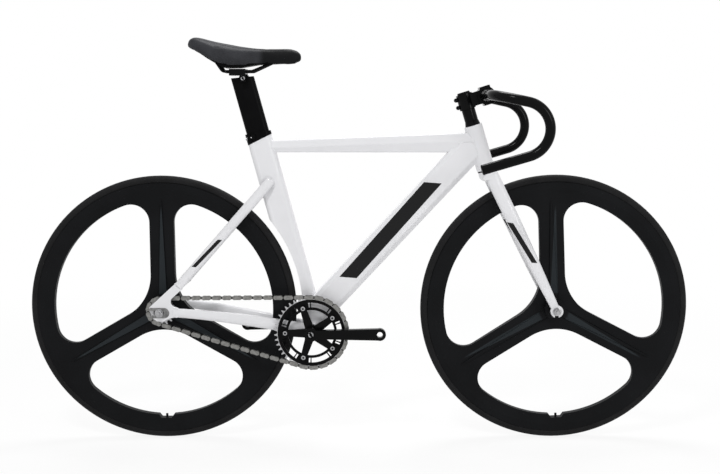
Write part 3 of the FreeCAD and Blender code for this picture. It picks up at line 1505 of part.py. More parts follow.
clamp_length = dim.clamp_rear + dim.clamp_front
clamp_middle = (dim.clamp_front - dim.clamp_rear) / 2
clamp_height = dim.clamp_top - dim.clamp_bottom
rail_gap = dim.rail_radius + dim.sliding_gap / 2
rail_length = dim.rail_straight_rear + dim.rail_straight_front
rail_channels = []
for side_sign in (-1, 1):
    start = saddle_point(-dim.rail_straight_rear, dim.rail_rise, side_sign * dim.rail_spread / 2)
    rail_channels.append(cylinder("rail_channel", rail_gap, rail_length, frame_at(start, forward, upward)))
clamp_head_room = cylinder("clamp_head_room", dim.clamp_head_radius + dim.sliding_gap, THROUGH,
                           across(clamp_pivot, -THROUGH / 2))
cradle = box("cradle_block", clamp_length, dim.rail_spread - dim.sliding_gap, clamp_height,
             Placement(saddle_point(clamp_middle, dim.clamp_bottom), Rotation()))
node("saddle_clamp_cradle", cut("cradle", cradle, *rail_channels, clamp_head_room))
plate_bottom = -dim.clamp_bolt_head_radius - dim.clamp_bolt_radius
plate_side = dim.rail_spread / 2 + dim.sliding_gap / 2
plate_width = dim.clamp_plate
plate_middle = -plate_side - plate_width / 2
plate_rail = box("plate_rail", clamp_length, plate_width, clamp_height,
                 Placement(saddle_point(clamp_middle, dim.clamp_bottom, plate_middle), Rotation()))
plate_leg = box("plate_leg", 2 * dim.clamp_bolt_head_radius + dim.clamp_front / 2, plate_width,
                dim.clamp_bottom - plate_bottom,
                Placement(saddle_point(0, plate_bottom, plate_middle), Rotation()))
clamp_plate = cut("clamp_plate", fuse("clamp_plate", plate_rail, plate_leg), *rail_channels,
                  clamp_bolt_hole)
node("saddle_clamp_plates", pair("clamp_plates", clamp_plate))
bolt_end = plate_side + plate_width
clamp_bolt_ends = []
for label, start in [("head", -bolt_end - dim.clamp_bolt_head), ("nut", bolt_end)]:
    clamp_bolt_ends.append(cylinder(f"clamp_bolt_{label}", dim.clamp_bolt_head_radius, dim.clamp_bolt_head,
                                    across(clamp_pivot, start)))
clamp_shank = cylinder("clamp_bolt_shank", dim.clamp_bolt_radius, 2 * bolt_end,
                       across(clamp_pivot, -bolt_end))
node("saddle_clamp_bolt", fuse("saddle_clamp_bolt", clamp_shank, *clamp_bolt_ends))

# Saddle pad, its base and the rails

SADDLE_SHARES = [
    # along from the rear, half width, crown, underside, keel of the base
    (0.000, 0.55, 0.77, 0.60, 0.00),
    (0.055, 0.86, 1.00, 0.49, 0.00),
    (0.180, 1.00, 0.89, 0.21, 0.06),
    (0.310, 0.90, 0.75, -0.01, 0.15),
    (0.450, 0.66, 0.65, -0.05, 0.11),
    (0.620, 0.43, 0.60, -0.01, 0.05),
    (0.850, 0.31, 0.58, -0.02, 0.00),
    (0.960, 0.25, 0.51, 0.05, 0.00),
    (1.000, 0.14, 0.36, 0.17, 0.00),
]
SADDLE_BASE_SHARES = SADDLE_SHARES[1:-1]
SADDLE_FOOT_SHARE = 0.82
saddle_rear = dim.saddle_nose_forward - dim.saddle_length


def saddle_place(along_share, up_by, side):
    return saddle_point(saddle_rear + dim.saddle_length * along_share, dim.saddle_underside + up_by, side)


def pad_section(along_share, width_share, crown_share, under_share, keel_share):
    """A crowned top over drawn-in sides and a flat underside."""
    half = float(dim.saddle_width) / 2 * width_share
    under = float(dim.saddle_height) * under_share
    crown = float(dim.saddle_height) * crown_share
    shoulder_share, waist_share, fall_share = 0.90, 0.45, 0.80
    waist = under + (crown - under) * waist_share
    shoulder = under + (crown - under) * fall_share
    foot_left = saddle_place(along_share, under, half * SADDLE_FOOT_SHARE)
    foot_right = saddle_place(along_share, under, -half * SADDLE_FOOT_SHARE)
    top_left = saddle_place(along_share, shoulder, half * shoulder_share)
    top_right = saddle_place(along_share, shoulder, -half * shoulder_share)
    return Part.Wire([
        Part.LineSegment(foot_right, foot_left).toShape(),
        Part.Arc(foot_left, saddle_place(along_share, waist, half), top_left).toShape(),
        Part.Arc(top_left, saddle_place(along_share, crown, 0), top_right).toShape(),
        Part.Arc(top_right, saddle_place(along_share, waist, -half), foot_right).toShape(),
    ])


def base_section(along_share, width_share, under_share, keel_share, foot, head, inset):
    """A plate between two heights above the underside of the pad, deeper by its keel."""
    half = float(dim.saddle_width) / 2 * width_share * SADDLE_FOOT_SHARE - float(inset)
    low = float(dim.saddle_height) * (under_share - keel_share) + float(foot)
    high = float(dim.saddle_height) * under_share + float(head)
    corners = [(low, -half), (low, half), (high, half), (high, -half), (low, -half)]
    return Part.makePolygon([saddle_place(along_share, up_by, side) for up_by, side in corners])


def base_loft(foot, head, inset):
    sections = [base_section(along, width, under, keel, foot, head, inset)
                for along, width, crown, under, keel in SADDLE_BASE_SHARES]
    return Part.makeLoft(sections, True, True)


pad_sections = [pad_section(*shares) for shares in SADDLE_SHARES]
pad_block = solid_of("saddle_pad_block", Part.makeLoft(pad_sections, True, False))
base_head = dim.saddle_recess + dim.saddle_base_thickness
hollow_loft = base_loft(-dim.saddle_height, base_head + dim.running_gap, dim.saddle_rim)
pad_hollow = solid_of("saddle_pad_hollow", hollow_loft)
node("saddle_pad", cut("saddle_pad", pad_block, pad_hollow))


def rail(side_sign):
    """A rod from the back of the base, level through the clamp, and up to the nose."""
    half = side_sign * dim.rail_spread / 2
    rear_share, nose_share = 0.22, 0.76
    rear_under_share, nose_under_share = 0.14, -0.015
    lift = dim.saddle_recess + dim.saddle_base_thickness / 2
    points = [
        saddle_place(rear_share, dim.saddle_height * rear_under_share + lift,
                     side_sign * dim.rail_end_spread / 2),
        saddle_point(-dim.rail_straight_rear, dim.rail_rise, half),
        saddle_point(dim.rail_straight_front, dim.rail_rise, half),
        saddle_place(nose_share, dim.saddle_height * nose_under_share + lift,
                     side_sign * dim.rail_nose_spread / 2),
    ]
    return bent_wire(points, [dim.rail_bend_radius, dim.rail_bend_radius]), points


rails = []
for side_sign in (-1, 1):
    wire, points = rail(side_sign)
    spine = solid_of(f"rail_spine_{len(rails)}", wire)
    rails.append(swept_tube(f"rail_{len(rails)}", spine, dim.rail_radius, points[0], points[1] - points[0]))
node("saddle_rails", group("saddle_rails", *rails))
plate_loft = base_loft(dim.saddle_recess, base_head, dim.saddle_rim + dim.sliding_gap)
base_block = solid_of("saddle_base_block", plate_loft)
node("saddle_base", cut("saddle_base", base_block, *rails))

# Cranks


def crank_arm(name, place, with_spider):
    body = new_body(name, place)
    boss = sketch_on(body, "XZ_Plane", dim.crank_boss_inner)
    disc(boss, dim.crank_boss_radius)
    outer_face = dim.crank_inner_face + dim.crank_thickness
    pad(body, boss, outer_face - dim.crank_boss_inner)
    arm = sketch_on(body, "XZ_Plane", dim.crank_inner_face)
    half = dim.crank_width / 2
    eye_share = 0.96
    eye_half = dim.crank_eye_radius * eye_share
    outline(arm, [(0, -half), (dim.crank_length, -eye_half), (dim.crank_length, eye_half), (0, half)])
    pad(body, arm, dim.crank_thickness)
    eye = sketch_on(body, "XZ_Plane", dim.crank_inner_face)
    disc(eye, dim.crank_eye_radius, dim.crank_length, 0)
    pad(body, eye, dim.crank_thickness)
    if with_spider:
        spider = sketch_on(body, "XZ_Plane", dim.chain_line + dim.sprocket_thickness / 2)
        root_half = float(dim.spider_root_width) / 2
        arm_half = float(dim.spider_arm_width) / 2
        tip = float(dim.ring_bolt_circle)
        spider_pieces = [
            [(0, -root_half), (tip, -arm_half)],
            [(tip, -arm_half), (tip + arm_half, 0), (tip, arm_half)],
            [(tip, arm_half), (0, root_half)],
            [(0, root_half), (0, -root_half)],
        ]
        curved_outline(spider, [[turned(point, SPIDER_TURN) for point in piece] for piece in spider_pieces])
        spider_pad = pad(body, spider, dim.spider_thickness)
        holes = sketch_on(body, "XZ_Plane")
        hole_x, hole_y = on_circle(tip, SPIDER_TURN)
        disc(holes, dim.ring_bolt_radius + dim.running_gap, hole_x, hole_y)
        repeated(body, [spider_pad], 5)
        hole = pocket(body, holes)
        repeated(body, [hole], 5)
    pedal = sketch_on(body, "XZ_Plane")
    disc(pedal, dim.pedal_thread_radius, dim.crank_length, 0)
    pocket(body, pedal)
    square = sketch_on(body, "XZ_Plane")
    flat = dim.spindle_square / 2 + dim.running_gap
    outline(square, [(-flat, -flat), (flat, -flat), (flat, flat), (-flat, flat)])
    pocket(body, square)
    recess = sketch_on(body, "XZ_Plane", outer_face - dim.crank_bolt_recess)
    disc(recess, dim.crank_bolt_radius + 3 * dim.working_gap)
    pocket(body, recess, dim.crank_bolt_recess, symmetric=False, reverse=True)
    return body


SPIDER_TURN = FULL_TURN / 10
right_crank = Placement(bracket, Rotation())
left_crank = Placement(bracket, Rotation(upward, 2 * QUARTER_TURN))
node("crank_arm_right", crank_arm("crank_right_body", right_crank, True))
node("crank_arm_left", crank_arm("crank_left_body", left_crank, False))
bolt_floor = dim.crank_inner_face + dim.crank_thickness - dim.crank_bolt_recess
square_length = 2 * bolt_floor
node("crank_spindle", fuse(
    "crank_spindle",
    cylinder("spindle_round", dim.spindle_radius, dim.bracket_width + 2 * dim.cartridge_flange,
             across(bracket, flange_start)),
    box("spindle_square", dim.spindle_square, dim.spindle_square, square_length - 2 * dim.working_gap,
        across(bracket, dim.working_gap - bolt_floor))))
bolt_head_height = dim.crank_bolt_recess - dim.working_gap
crank_bolt = hexagon("crank_bolt_head", 2 * dim.crank_bolt_radius * cosine(FULL_TURN / 12), bolt_head_height,
                     across(bracket, -bolt_floor - bolt_head_height))
node("crank_bolts", pair("crank_bolts", crank_bolt))

# Chain path around the chainring and the cog


def pitch_radius(teeth):
    return dim.chain_pitch / 2 / sine(FULL_TURN / 2 / teeth)


ring_pitch = pitch_radius(dim.ring_teeth)
cog_pitch = pitch_radius(dim.cog_teeth)
between = bracket - rear_hub
span = between.Length
base_angle = math.degrees(math.atan2(between.z, between.x))
lean = math.degrees(math.asin((float(ring_pitch) - float(cog_pitch)) / span))
upper_normal = base_angle + QUARTER_TURN + lean
lower_normal = base_angle - QUARTER_TURN - lean
ring_wrap = upper_normal - lower_normal
cog_wrap = FULL_TURN - ring_wrap
run = span * math.cos(math.radians(lean)) / float(dim.chain_pitch)
ring_pitches = ring_wrap / FULL_TURN * float(dim.ring_teeth)
cog_pitches = cog_wrap / FULL_TURN * float(dim.cog_teeth)
loop = ring_pitches + cog_pitches + 2 * run
link_count = 2 * round(loop / 2)
step = loop / link_count


def around(centre, radius, angle):
    x, z = on_circle(radius, angle)
    return Vector(centre.x + x, -float(dim.chain_line), centre.z + z)


def chain_point(travelled):
    """Where a pin lies after a number of pitches from the foot of the chainring."""
    travelled = travelled % loop
    if travelled < ring_pitches:
        return around(bracket, ring_pitch, lower_normal + travelled / float(dim.ring_teeth) * FULL_TURN)
    travelled -= ring_pitches
    if travelled < run:
        start = around(bracket, ring_pitch, upper_normal)
        end = around(rear_hub, cog_pitch, upper_normal)
        return start + (end - start) * (travelled / run)
    travelled -= run
    if travelled < cog_pitches:
        return around(rear_hub, cog_pitch, upper_normal + travelled / float(dim.cog_teeth) * FULL_TURN)
    travelled -= cog_pitches
    start = around(rear_hub, cog_pitch, lower_normal)
    end = around(bracket, ring_pitch, lower_normal)
    return start + (end - start) * (travelled / run)


pins = [chain_point(number * step) for number in range(link_count)]


def pin_angle(centre, middle_angle, radius):
    """The angle of the pin nearest to the middle of a wrap."""
    target = around(centre, radius, middle_angle)
    nearest = min(pins, key=lambda pin: (pin - target).Length)
    return math.degrees(math.atan2(nearest.z - centre.z, nearest.x - centre.x))


ring_gap_angle = pin_angle(bracket, (upper_normal + lower_normal) / 2, ring_pitch)
cog_gap_angle = pin_angle(rear_hub, (upper_normal + lower_normal) / 2 + 2 * QUARTER_TURN, cog_pitch)


def tooth_gaps(body, pitch, teeth, angle):
    """The rounded gaps between the teeth of a sprocket."""
    sketch = sketch_on(body, "XZ_Plane")
    gap = float(dim.tooth_gap_radius)
    mouth = gap + float(dim.tooth_gap_flare)
    middle = float(pitch)
    outside = middle + 2 * float(dim.tooth_height)
    corners = [turned(point, angle) for point in [(middle, gap), (middle - gap, 0), (middle, -gap)]]
    far = [turned(point, angle) for point in [(outside, -mouth), (outside, mouth)]]
    curved_outline(sketch, [corners, [corners[2], far[0]], far, [far[1], corners[0]]])
    made = sketch.addConstraint(Sketcher.Constraint("Radius", 0, gap))
    sketch.setExpression(f"Constraints[{made}]", dim.tooth_gap_radius.text)
    cutting = pocket(body, sketch)
    repeated(body, [cutting], teeth)


def sprocket_blank(name, centre, pitch):
    body = new_body(name, Placement(vector(centre.x, -dim.chain_line, centre.z), Rotation()))
    blank = sketch_on(body, "XZ_Plane")
    disc(blank, pitch + dim.tooth_height)
    pad(body, blank, dim.sprocket_thickness, symmetric=True)
    return body


ring_body = sprocket_blank("chainring_body", bracket, ring_pitch)
ring_hole = sketch_on(ring_body, "XZ_Plane")
disc(ring_hole, dim.ring_inner_radius)
pocket(ring_body, ring_hole)
ring_bolt_sketch = sketch_on(ring_body, "XZ_Plane")
bolt_x, bolt_y = on_circle(dim.ring_bolt_circle, SPIDER_TURN)
disc(ring_bolt_sketch, dim.ring_bolt_radius + dim.running_gap, bolt_x, bolt_y)
ring_slot_sketch = sketch_on(ring_body, "XZ_Plane")
slot_half = float(dim.ring_slot_angle) / 2
inner_arc = [on_circle(dim.ring_slot_inner, angle) for angle in (slot_half, 0, -slot_half)]
outer_arc = [on_circle(dim.ring_slot_outer, angle) for angle in (-slot_half, 0, slot_half)]
slot_ends = [[inner_arc[2], outer_arc[0]], [outer_arc[2], inner_arc[0]]]
curved_outline(ring_slot_sketch, [inner_arc, slot_ends[0], outer_arc, slot_ends[1]])
slit_sketches = []
for side_sign in (-1, 1):
    slit = sketch_on(ring_body, "XZ_Plane")
    slit_angle = SPIDER_TURN + side_sign * float(dim.ring_slit_offset)
    slit_half = float(dim.ring_slit_width) / 2
    corners = [(dim.ring_slot_inner, -slit_half), (dim.ring_slot_outer, -slit_half),
               (dim.ring_slot_outer, slit_half), (dim.ring_slot_inner, slit_half)]
    outline(slit, [turned(corner, slit_angle) for corner in corners])
    slit_sketches.append(slit)
for sketch in [ring_bolt_sketch, ring_slot_sketch] + slit_sketches:
    opening = pocket(ring_body, sketch)
    repeated(ring_body, [opening], 5)
tooth_gaps(ring_body, ring_pitch, dim.ring_teeth, ring_gap_angle)
node("chainring", ring_body)

ring_outer_face = -dim.chain_line - dim.sprocket_thickness / 2 - dim.spider_thickness
ring_inner_face = dim.sprocket_thickness / 2 - dim.chain_line
ring_bolts = []
for number in range(5):
    x, z = on_circle(dim.ring_bolt_circle, SPIDER_TURN + number * FULL_TURN / 5)
    centre = bracket + Vector(x, 0, z)
    ring_bolts.append(fuse(
        f"ring_bolt_{number}",
        cylinder("ring_bolt_shank", dim.ring_bolt_radius, dim.spider_thickness + dim.sprocket_thickness,
                 across(centre, ring_outer_face)),
        cylinder("ring_bolt_head", dim.ring_bolt_head_radius, dim.ring_bolt_head,
                 across(centre, ring_outer_face - dim.ring_bolt_head)),
        cylinder("ring_bolt_nut", dim.ring_bolt_head_radius, dim.ring_bolt_head / 2,
                 across(centre, ring_inner_face))))
node("chainring_bolts", group("chainring_bolts", *ring_bolts))

cog_body = sprocket_blank("cog_body", rear_hub, cog_pitch)
cog_boss = sketch_on(cog_body, "XZ_Plane")
disc(cog_boss, dim.cog_boss_radius)
pad(cog_body, cog_boss, dim.cog_boss_thickness, symmetric=True)
cog_hole = sketch_on(cog_body, "XZ_Plane")
disc(cog_hole, dim.cog_thread_radius + dim.running_gap)
pocket(cog_body, cog_hole)
tooth_gaps(cog_body, cog_pitch, dim.cog_teeth, cog_gap_angle)
node("rear_cog", cog_body)
lockring_start = -dim.chain_line - dim.cog_boss_thickness / 2 - dim.lockring_thickness
node("rear_lockring", ring("lockring", dim.lockring_radius, dim.cog_thread_radius + dim.running_gap,
                           dim.lockring_thickness, across(rear_hub, lockring_start)))

# Chain links


def link_plate(inner_side, sign, end_height, waist_height):
    """A waisted plate, lying along X, on one side of the chain."""
    half = float(dim.chain_pitch) / 2
    end = float(end_height) / 2
    waist = float(waist_height) / 2
    front_low, front_high = Vector(half, 0, -end), Vector(half, 0, end)
    back_low, back_high = Vector(-half, 0, -end), Vector(-half, 0, end)
    wire = Part.Wire([
        Part.Arc(front_low, Vector(half + end, 0, 0), front_high).toShape(),
        Part.Arc(front_high, Vector(0, 0, waist), back_high).toShape(),
        Part.Arc(back_high, Vector(-half - end, 0, 0), back_low).toShape(),
        Part.Arc(back_low, Vector(0, 0, -waist), front_low).toShape(),
    ])
    plate = Part.Face(wire).extrude(Vector(0, sign * float(dim.chain_plate), 0))
    plate.translate(Vector(0, sign * float(inner_side), 0))
    return plate


def link_rod(radius, half_length, x_sign):
    foot = vector(x_sign * dim.chain_pitch / 2, -half_length, 0)
    return Part.makeCylinder(float(radius), 2 * float(half_length), foot, left)


inner_half = dim.chain_inner_width / 2
outer_side = inner_half + dim.chain_plate + 2 * dim.running_gap
pin_half = outer_side + dim.chain_plate + dim.chain_pin_proud
pin_hole = dim.chain_pin_radius + dim.sliding_gap / 2
outer_rods = [link_rod(dim.chain_pin_radius, pin_half, sign) for sign in (-1, 1)]
outer_plates = [link_plate(outer_side, sign, dim.chain_outer_height, dim.chain_outer_waist)
                for sign in (-1, 1)]
outer_link = outer_plates[0].multiFuse([outer_plates[1]] + outer_rods)
inner_rods = [link_rod(dim.chain_roller_radius, inner_half, sign) for sign in (-1, 1)]
inner_plates = [link_plate(inner_half, sign, dim.chain_inner_height, dim.chain_inner_waist)
                for sign in (-1, 1)]
inner_link = inner_plates[0].multiFuse([inner_plates[1]] + inner_rods)
for sign in (-1, 1):
    inner_link = inner_link.cut(link_rod(pin_hole, pin_half, sign))


def placed_links(link, first):
    """Every second link of the loop."""
    placed = []
    for number in range(first, link_count, 2):
        here = pins[number]
        there = pins[(number + 1) % link_count]
        made = link.Solids[0].copy()
        angle = math.degrees(math.atan2(there.z - here.z, there.x - here.x))
        made.Placement = Placement((here + there) / 2, Rotation(left, -angle))
        placed.append(made)
    return Part.Compound(placed)


node("chain_outer_links", solid_of("chain_outer", placed_links(outer_link, 0)))
node("chain_inner_links", solid_of("chain_inner", placed_links(inner_link, 1)))

# Check and write every piece

doc.recompute()
for thing in doc.Objects:
    if "Invalid" in thing.State or "Error" in thing.State:
        raise RuntimeError(f"{thing.Name} did not recompute: {thing.State}")
for label, thing in NODES.items():
    thing.Label = label
    if thing.Shape.isNull() or not thing.Shape.isValid():
        raise RuntimeError(f"{label} has no valid shape")
    thing.Shape.exportStep(f"parts/{label}.step")
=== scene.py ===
"""Dresses the fixed gear bike: finishes, saddle cover, weld beads, bolts, studio and camera."""

import json
import math

import bpy
from bpy.props import FloatProperty, FloatVectorProperty, PointerProperty
from mathutils import Matrix, Vector
from mathutils.bvhtree import BVHTree


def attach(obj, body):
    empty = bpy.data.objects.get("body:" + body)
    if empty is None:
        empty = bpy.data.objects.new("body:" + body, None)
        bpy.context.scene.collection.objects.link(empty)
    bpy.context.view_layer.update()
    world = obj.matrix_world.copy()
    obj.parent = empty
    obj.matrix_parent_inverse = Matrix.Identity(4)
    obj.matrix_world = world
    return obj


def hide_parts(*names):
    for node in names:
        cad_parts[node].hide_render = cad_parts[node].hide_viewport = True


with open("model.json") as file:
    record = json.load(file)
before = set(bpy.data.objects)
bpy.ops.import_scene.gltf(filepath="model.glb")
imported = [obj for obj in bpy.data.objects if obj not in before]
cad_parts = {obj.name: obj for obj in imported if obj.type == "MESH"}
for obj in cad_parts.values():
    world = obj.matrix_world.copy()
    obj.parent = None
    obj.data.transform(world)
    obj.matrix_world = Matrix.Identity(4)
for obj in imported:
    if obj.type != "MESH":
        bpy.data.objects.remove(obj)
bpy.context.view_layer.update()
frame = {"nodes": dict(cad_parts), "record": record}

bl_info = {
    "name": "Fixed Gear Bike",
    "version": (1, 0, 0),
    "blender": (4, 5, 0),
    "location": "3D View > Sidebar > Bike",
    "description": "Finishes and small parts of a fixed gear bike",
    "category": "Object",
}

# Places on the bike, in metres: X forward, Y to the rider's left, Z up
REAR_HUB = Vector((-0.4895, 0, 0.334))
FRONT_HUB = Vector((0.4895, 0, 0.334))
BRACKET = Vector((-0.116786, 0, 0.279))
STEER_UP = Vector((-0.292372, 0, 0.956305))
STEER_FORWARD = Vector((0.956305, 0, 0.292372))
SEAT_FORWARD = Vector((0.965926, 0, 0.258819))
SIDEWAYS = Vector((0, 1, 0))
# The raised band of a spoke, which carries a painted highlight: reach and half width at the hub and at the
# rim, and where it fades.
# The last line holds the soft edge of the band and of a panel.
HUB_REACH, RIM_REACH = 0.030, 0.262
RIDGE_AT_HUB, RIDGE_AT_RIM = 0.010, 0.0012
RIDGE_FADES_IN, RIDGE_FADES_OUT = (0.036, 0.042), (0.235, 0.262)
RIDGE_EDGE, PANEL_EDGE = 0.0003, 0.0003
# The tread: sideways reach of the smooth crown and of the cut shoulder, and the lean of the cuts
CROWN_EDGE, SHOULDER_EDGE = (0.0035, 0.0045), (0.0082, 0.0090)
CUT_LEAN = 900.0
CUT_SHARES = (0.1, 0.7)
# The ring's bare teeth start here, and the saddle's dark nose here
BARE_TEETH = (0.0838, 0.0842)
SADDLE_NOSE = (-0.245, -0.225)
# Points of a solid nearer than this are one point, and beads and seams are this round
SAME_POINT = 0.000005
BEAD_ROUNDNESS = 2


# Sizes and colours that a user would change


def colour(name, description, default):
    return FloatVectorProperty(name=name, description=description, default=default, size=3,
                               subtype="COLOR", min=0, max=1)


def length(name, description, default):
    return FloatProperty(name=name, description=description, default=default, subtype="DISTANCE",
                         unit="LENGTH", min=0)


class BikeColours(bpy.types.PropertyGroup):
    paint: colour("Paint", "Gloss paint of the frame and fork", (0.80, 0.80, 0.82))
    panel: colour("Panel", "Plain dark panels on the tubes", (0.004, 0.004, 0.0045))
    composite: colour("Wheels", "Satin moulding of the wheels", (0.0048, 0.0051, 0.0058))
    # Painted highlight: this paler colour on the raised band of each spoke stands in for light on it
    ridge: colour("Wheel ridges", "Paler bands along the wheels' spokes", (0.020, 0.024, 0.027))
    rubber: colour("Tyres", "Matt rubber of the tyres", (0.0085, 0.0085, 0.009))
    gloss_black: colour("Gloss black", "Handlebar, stem and cranks", (0.0028, 0.0028, 0.0030))
    satin_black: colour("Satin black", "Seatpost and collar", (0.0028, 0.0028, 0.0030))
    steel: colour("Steel", "Plated bolts, nuts and axles", (0.42, 0.42, 0.43))
    # Painted shade: this dark colour on a socket's inside stands in for the shade in the recess
    socket: colour("Sockets", "Shaded inside of a bolt's socket", (0.030, 0.030, 0.031))
    # Painted shade, not scuffing: the slot faces around the rear axle are darker than bare alloy, standing
    # in for the shade in the slot
    slot_face: colour("Slot faces", "Scuffed metal around the rear axle", (0.20, 0.20, 0.20))
    alloy: colour("Bare alloy", "Tooth edges and the cog", (0.46, 0.46, 0.47))
    chain: colour("Chain", "Outer plates of the chain", (0.23, 0.228, 0.220))
    # Painted shade, not oil: the inner plates and rollers are far darker than the outer plates, standing in
    # for the shade between them
    chain_inner_shade: colour("Chain inside", "Oily inner plates and rollers", (0.030, 0.029, 0.027))
    leather: colour("Saddle", "Matt cover of the saddle", (0.031, 0.032, 0.036))


class BikeSizes(bpy.types.PropertyGroup):
    weld_radius: length("Weld bead", "Radius of the bead around each tube joint", 0.0014)
    casting_edge: length("Wheel edge", "Rounding of the wheels' window edges", 0.0025)
    metal_edge: length("Metal edge", "Rounding of the edges of small metal parts", 0.0008)
    voxel: length("Saddle voxel", "Cell of the remesh before the cover is inflated", 0.0045)
    slack: length("Saddle slack", "How much smaller the cover starts before it is inflated", 0.001)
    swell: length("Saddle swell", "Farthest that a point of the cover may move", 0.006)
    groove: length("Saddle groove", "Depth of the channel along the saddle", 0.003)
    seam_radius: length("Saddle seam", "Radius of the sewn edges of the cover", 0.0007)


class BikeStage(bpy.types.PropertyGroup):
    lens: FloatProperty(name="Lens", description="Focal length on a 36 mm sensor", default=51.578,
                        subtype="DISTANCE_CAMERA", min=1)
    key_power: FloatProperty(name="Key light", description="Power of the front light",
                             default=42, unit="POWER", min=0)
    ambient: FloatProperty(name="Ambient", description="Strength of the surrounding light",
                           default=0.44, min=0)


# Helpers for objects


def deselect():
    if bpy.context.object and bpy.context.object.mode != "OBJECT":
        bpy.ops.object.mode_set(mode="OBJECT")
    bpy.ops.object.select_all(action="DESELECT")


def activate(piece):
    deselect()
    piece.select_set(True)
    bpy.context.view_layer.objects.active = piece


def edit(piece):
    activate(piece)
    bpy.ops.object.mode_set(mode="EDIT")
    bpy.ops.mesh.select_all(action="DESELECT")


def leave_edit():
    bpy.ops.object.mode_set(mode="OBJECT")


def settle(piece):
    """Puts the place of a finished piece into its mesh."""
    activate(piece)
    bpy.ops.object.transform_apply(location=True, rotation=True, scale=True)
    return piece


def apply_modifiers(piece):
    activate(piece)
    for modifier in list(piece.modifiers):
        bpy.ops.object.modifier_apply(modifier=modifier.name)


def join(pieces, name):
    deselect()
    for piece in pieces:
        piece.select_set(True)
    bpy.context.view_layer.objects.active = pieces[0]
    bpy.ops.object.join()
    made = bpy.context.object
    made.name = name
    made.data.name = name
    return made


def node_copy(node, name):
    """A merged copy of a solid's mesh, as an object of its own."""
    source = frame["nodes"][node]
    made = bpy.data.objects.new(name, source.data.copy())
    bpy.context.scene.collection.objects.link(made)
    made.data.materials.clear()
    edit(made)
    bpy.ops.mesh.select_all(action="SELECT")
    bpy.ops.mesh.remove_doubles(threshold=SAME_POINT)
    leave_edit()
    return made


def dress(piece, material, body=None):
    """Gives a piece its finish and, where it is a new one, its body."""
    piece.data.materials.clear()
    piece.data.materials.append(material)
    if body:
        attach(piece, body)


# Helpers for pieces worked out from the solids


def solids_of(node):
    """The corner points of each separate solid in a node."""
    loose = node_copy(node, "loose")
    edit(loose)
    bpy.ops.mesh.select_all(action="SELECT")
    bpy.ops.mesh.separate(type="LOOSE")
    leave_edit()
    apart = list(bpy.context.selected_objects)
    points = [[vertex.co.copy() for vertex in piece.data.vertices] for piece in apart]
    for piece in apart:
        bpy.data.objects.remove(piece)
    return points


def grouped(values, tolerance):
    """Sorted values with near ones taken as one."""
    kept = []
    for value in sorted(values):
        if not kept or value - kept[-1] > tolerance:
            kept.append(value)
    return kept


def extent(points, axis):
    along = [point.dot(axis) for point in points]
    return max(along) - min(along)


def turned_steps(points, axis):
    """The centre line, levels and radii of a round stepped solid that lies along an axis."""
    near = 0.00005
    first = axis.orthogonal().normalized()
    second = axis.cross(first)
    middle = Vector()
    for way in (first, second):
        along = [point.dot(way) for point in points]
        middle += way * (max(along) + min(along)) / 2
    levels = grouped([point.dot(axis) for point in points], near)
    rings = []
    for level in levels:
        reaches = [(point - middle - axis * level).length for point in points
                   if abs(point.dot(axis) - level) < near]
        rings.append(grouped(reaches, near))
    radii = []
    for below, above in zip(rings, rings[1:]):
        shared = [reach for reach in below if any(abs(reach - other) < 2 * near for other in above)]
        radii.append(min(shared))
    return middle, levels, radii


def turned_bolt(name, levels, radii):
    """A round bolt along Z with a chamfered head and a six-sided socket, whose inside faces take a painted
    shade finish.
    """
    chamfer_share, socket_share, depth_share = 0.10, 0.56, 0.60
    outside_share, inside_share = 1.01, 0.95
    round_count, socket_count = 32, 6
    smooth_angle = math.radians(35)
    top = levels[-1]
    chamfer = radii[-1] * chamfer_share
    deselect()
    bpy.ops.mesh.primitive_circle_add(vertices=round_count, radius=radii[0], fill_type="NGON",
                                      location=(0, 0, levels[0]))
    bolt = settle(bpy.context.object)
    bolt.name = name
    edit(bolt)
    bpy.ops.mesh.select_all(action="SELECT")
    reach = radii[0]
    stops = list(zip(levels[1:], radii))
    stops[-1] = (top - chamfer, radii[-1])
    level = levels[0]
    for stop, radius in stops + [(top, None)]:
        if radius and radius != reach:
            bpy.ops.mesh.extrude_region_move(TRANSFORM_OT_translate={"value": (0, 0, 0)})
            bpy.ops.transform.resize(value=(radius / reach, radius / reach, 1))
            reach = radius
        bpy.ops.mesh.extrude_region_move(TRANSFORM_OT_translate={"value": (0, 0, stop - level)})
        level = stop
    bpy.ops.transform.resize(value=(1 - chamfer_share, 1 - chamfer_share, 1))
    bpy.ops.mesh.delete(type="ONLY_FACE")
    socket = radii[-1] * socket_share
    bpy.ops.mesh.primitive_circle_add(vertices=socket_count, radius=socket, location=(0, 0, top))
    select_points(bolt, lambda place: place.z > top - chamfer / 2)
    bpy.ops.mesh.bridge_edge_loops()
    select_points(bolt, lambda place: (place.z > top - chamfer / 2
                                       and place.xy.length < socket * outside_share))
    depth = (levels[-1] - levels[-2]) * depth_share
    bpy.ops.mesh.extrude_region_move(TRANSFORM_OT_translate={"value": (0, 0, -depth)})
    bpy.ops.mesh.edge_face_add()
    bpy.ops.mesh.select_all(action="SELECT")
    bpy.ops.mesh.normals_make_consistent(inside=False)
    leave_edit()
    # Faces inside the socket take the second finish, which is painted shade
    for face in bolt.data.polygons:
        within = face.center.xy.length < socket * inside_share
        face.material_index = int(within and face.center.z > top - depth * outside_share)
    bpy.ops.object.shade_smooth_by_angle(angle=smooth_angle)
    return bolt


def select_points(piece, test):
    """Selects the points of a mesh that pass a test, and the edges between them."""
    bpy.ops.object.mode_set(mode="OBJECT")
    for face in piece.data.polygons:
        face.select = False
    for line in piece.data.edges:
        line.select = all(test(piece.data.vertices[number].co) for number in line.vertices)
    for vertex in piece.data.vertices:
        vertex.select = test(vertex.co)
    bpy.ops.object.mode_set(mode="EDIT")
    bpy.ops.mesh.select_mode(type="EDGE")


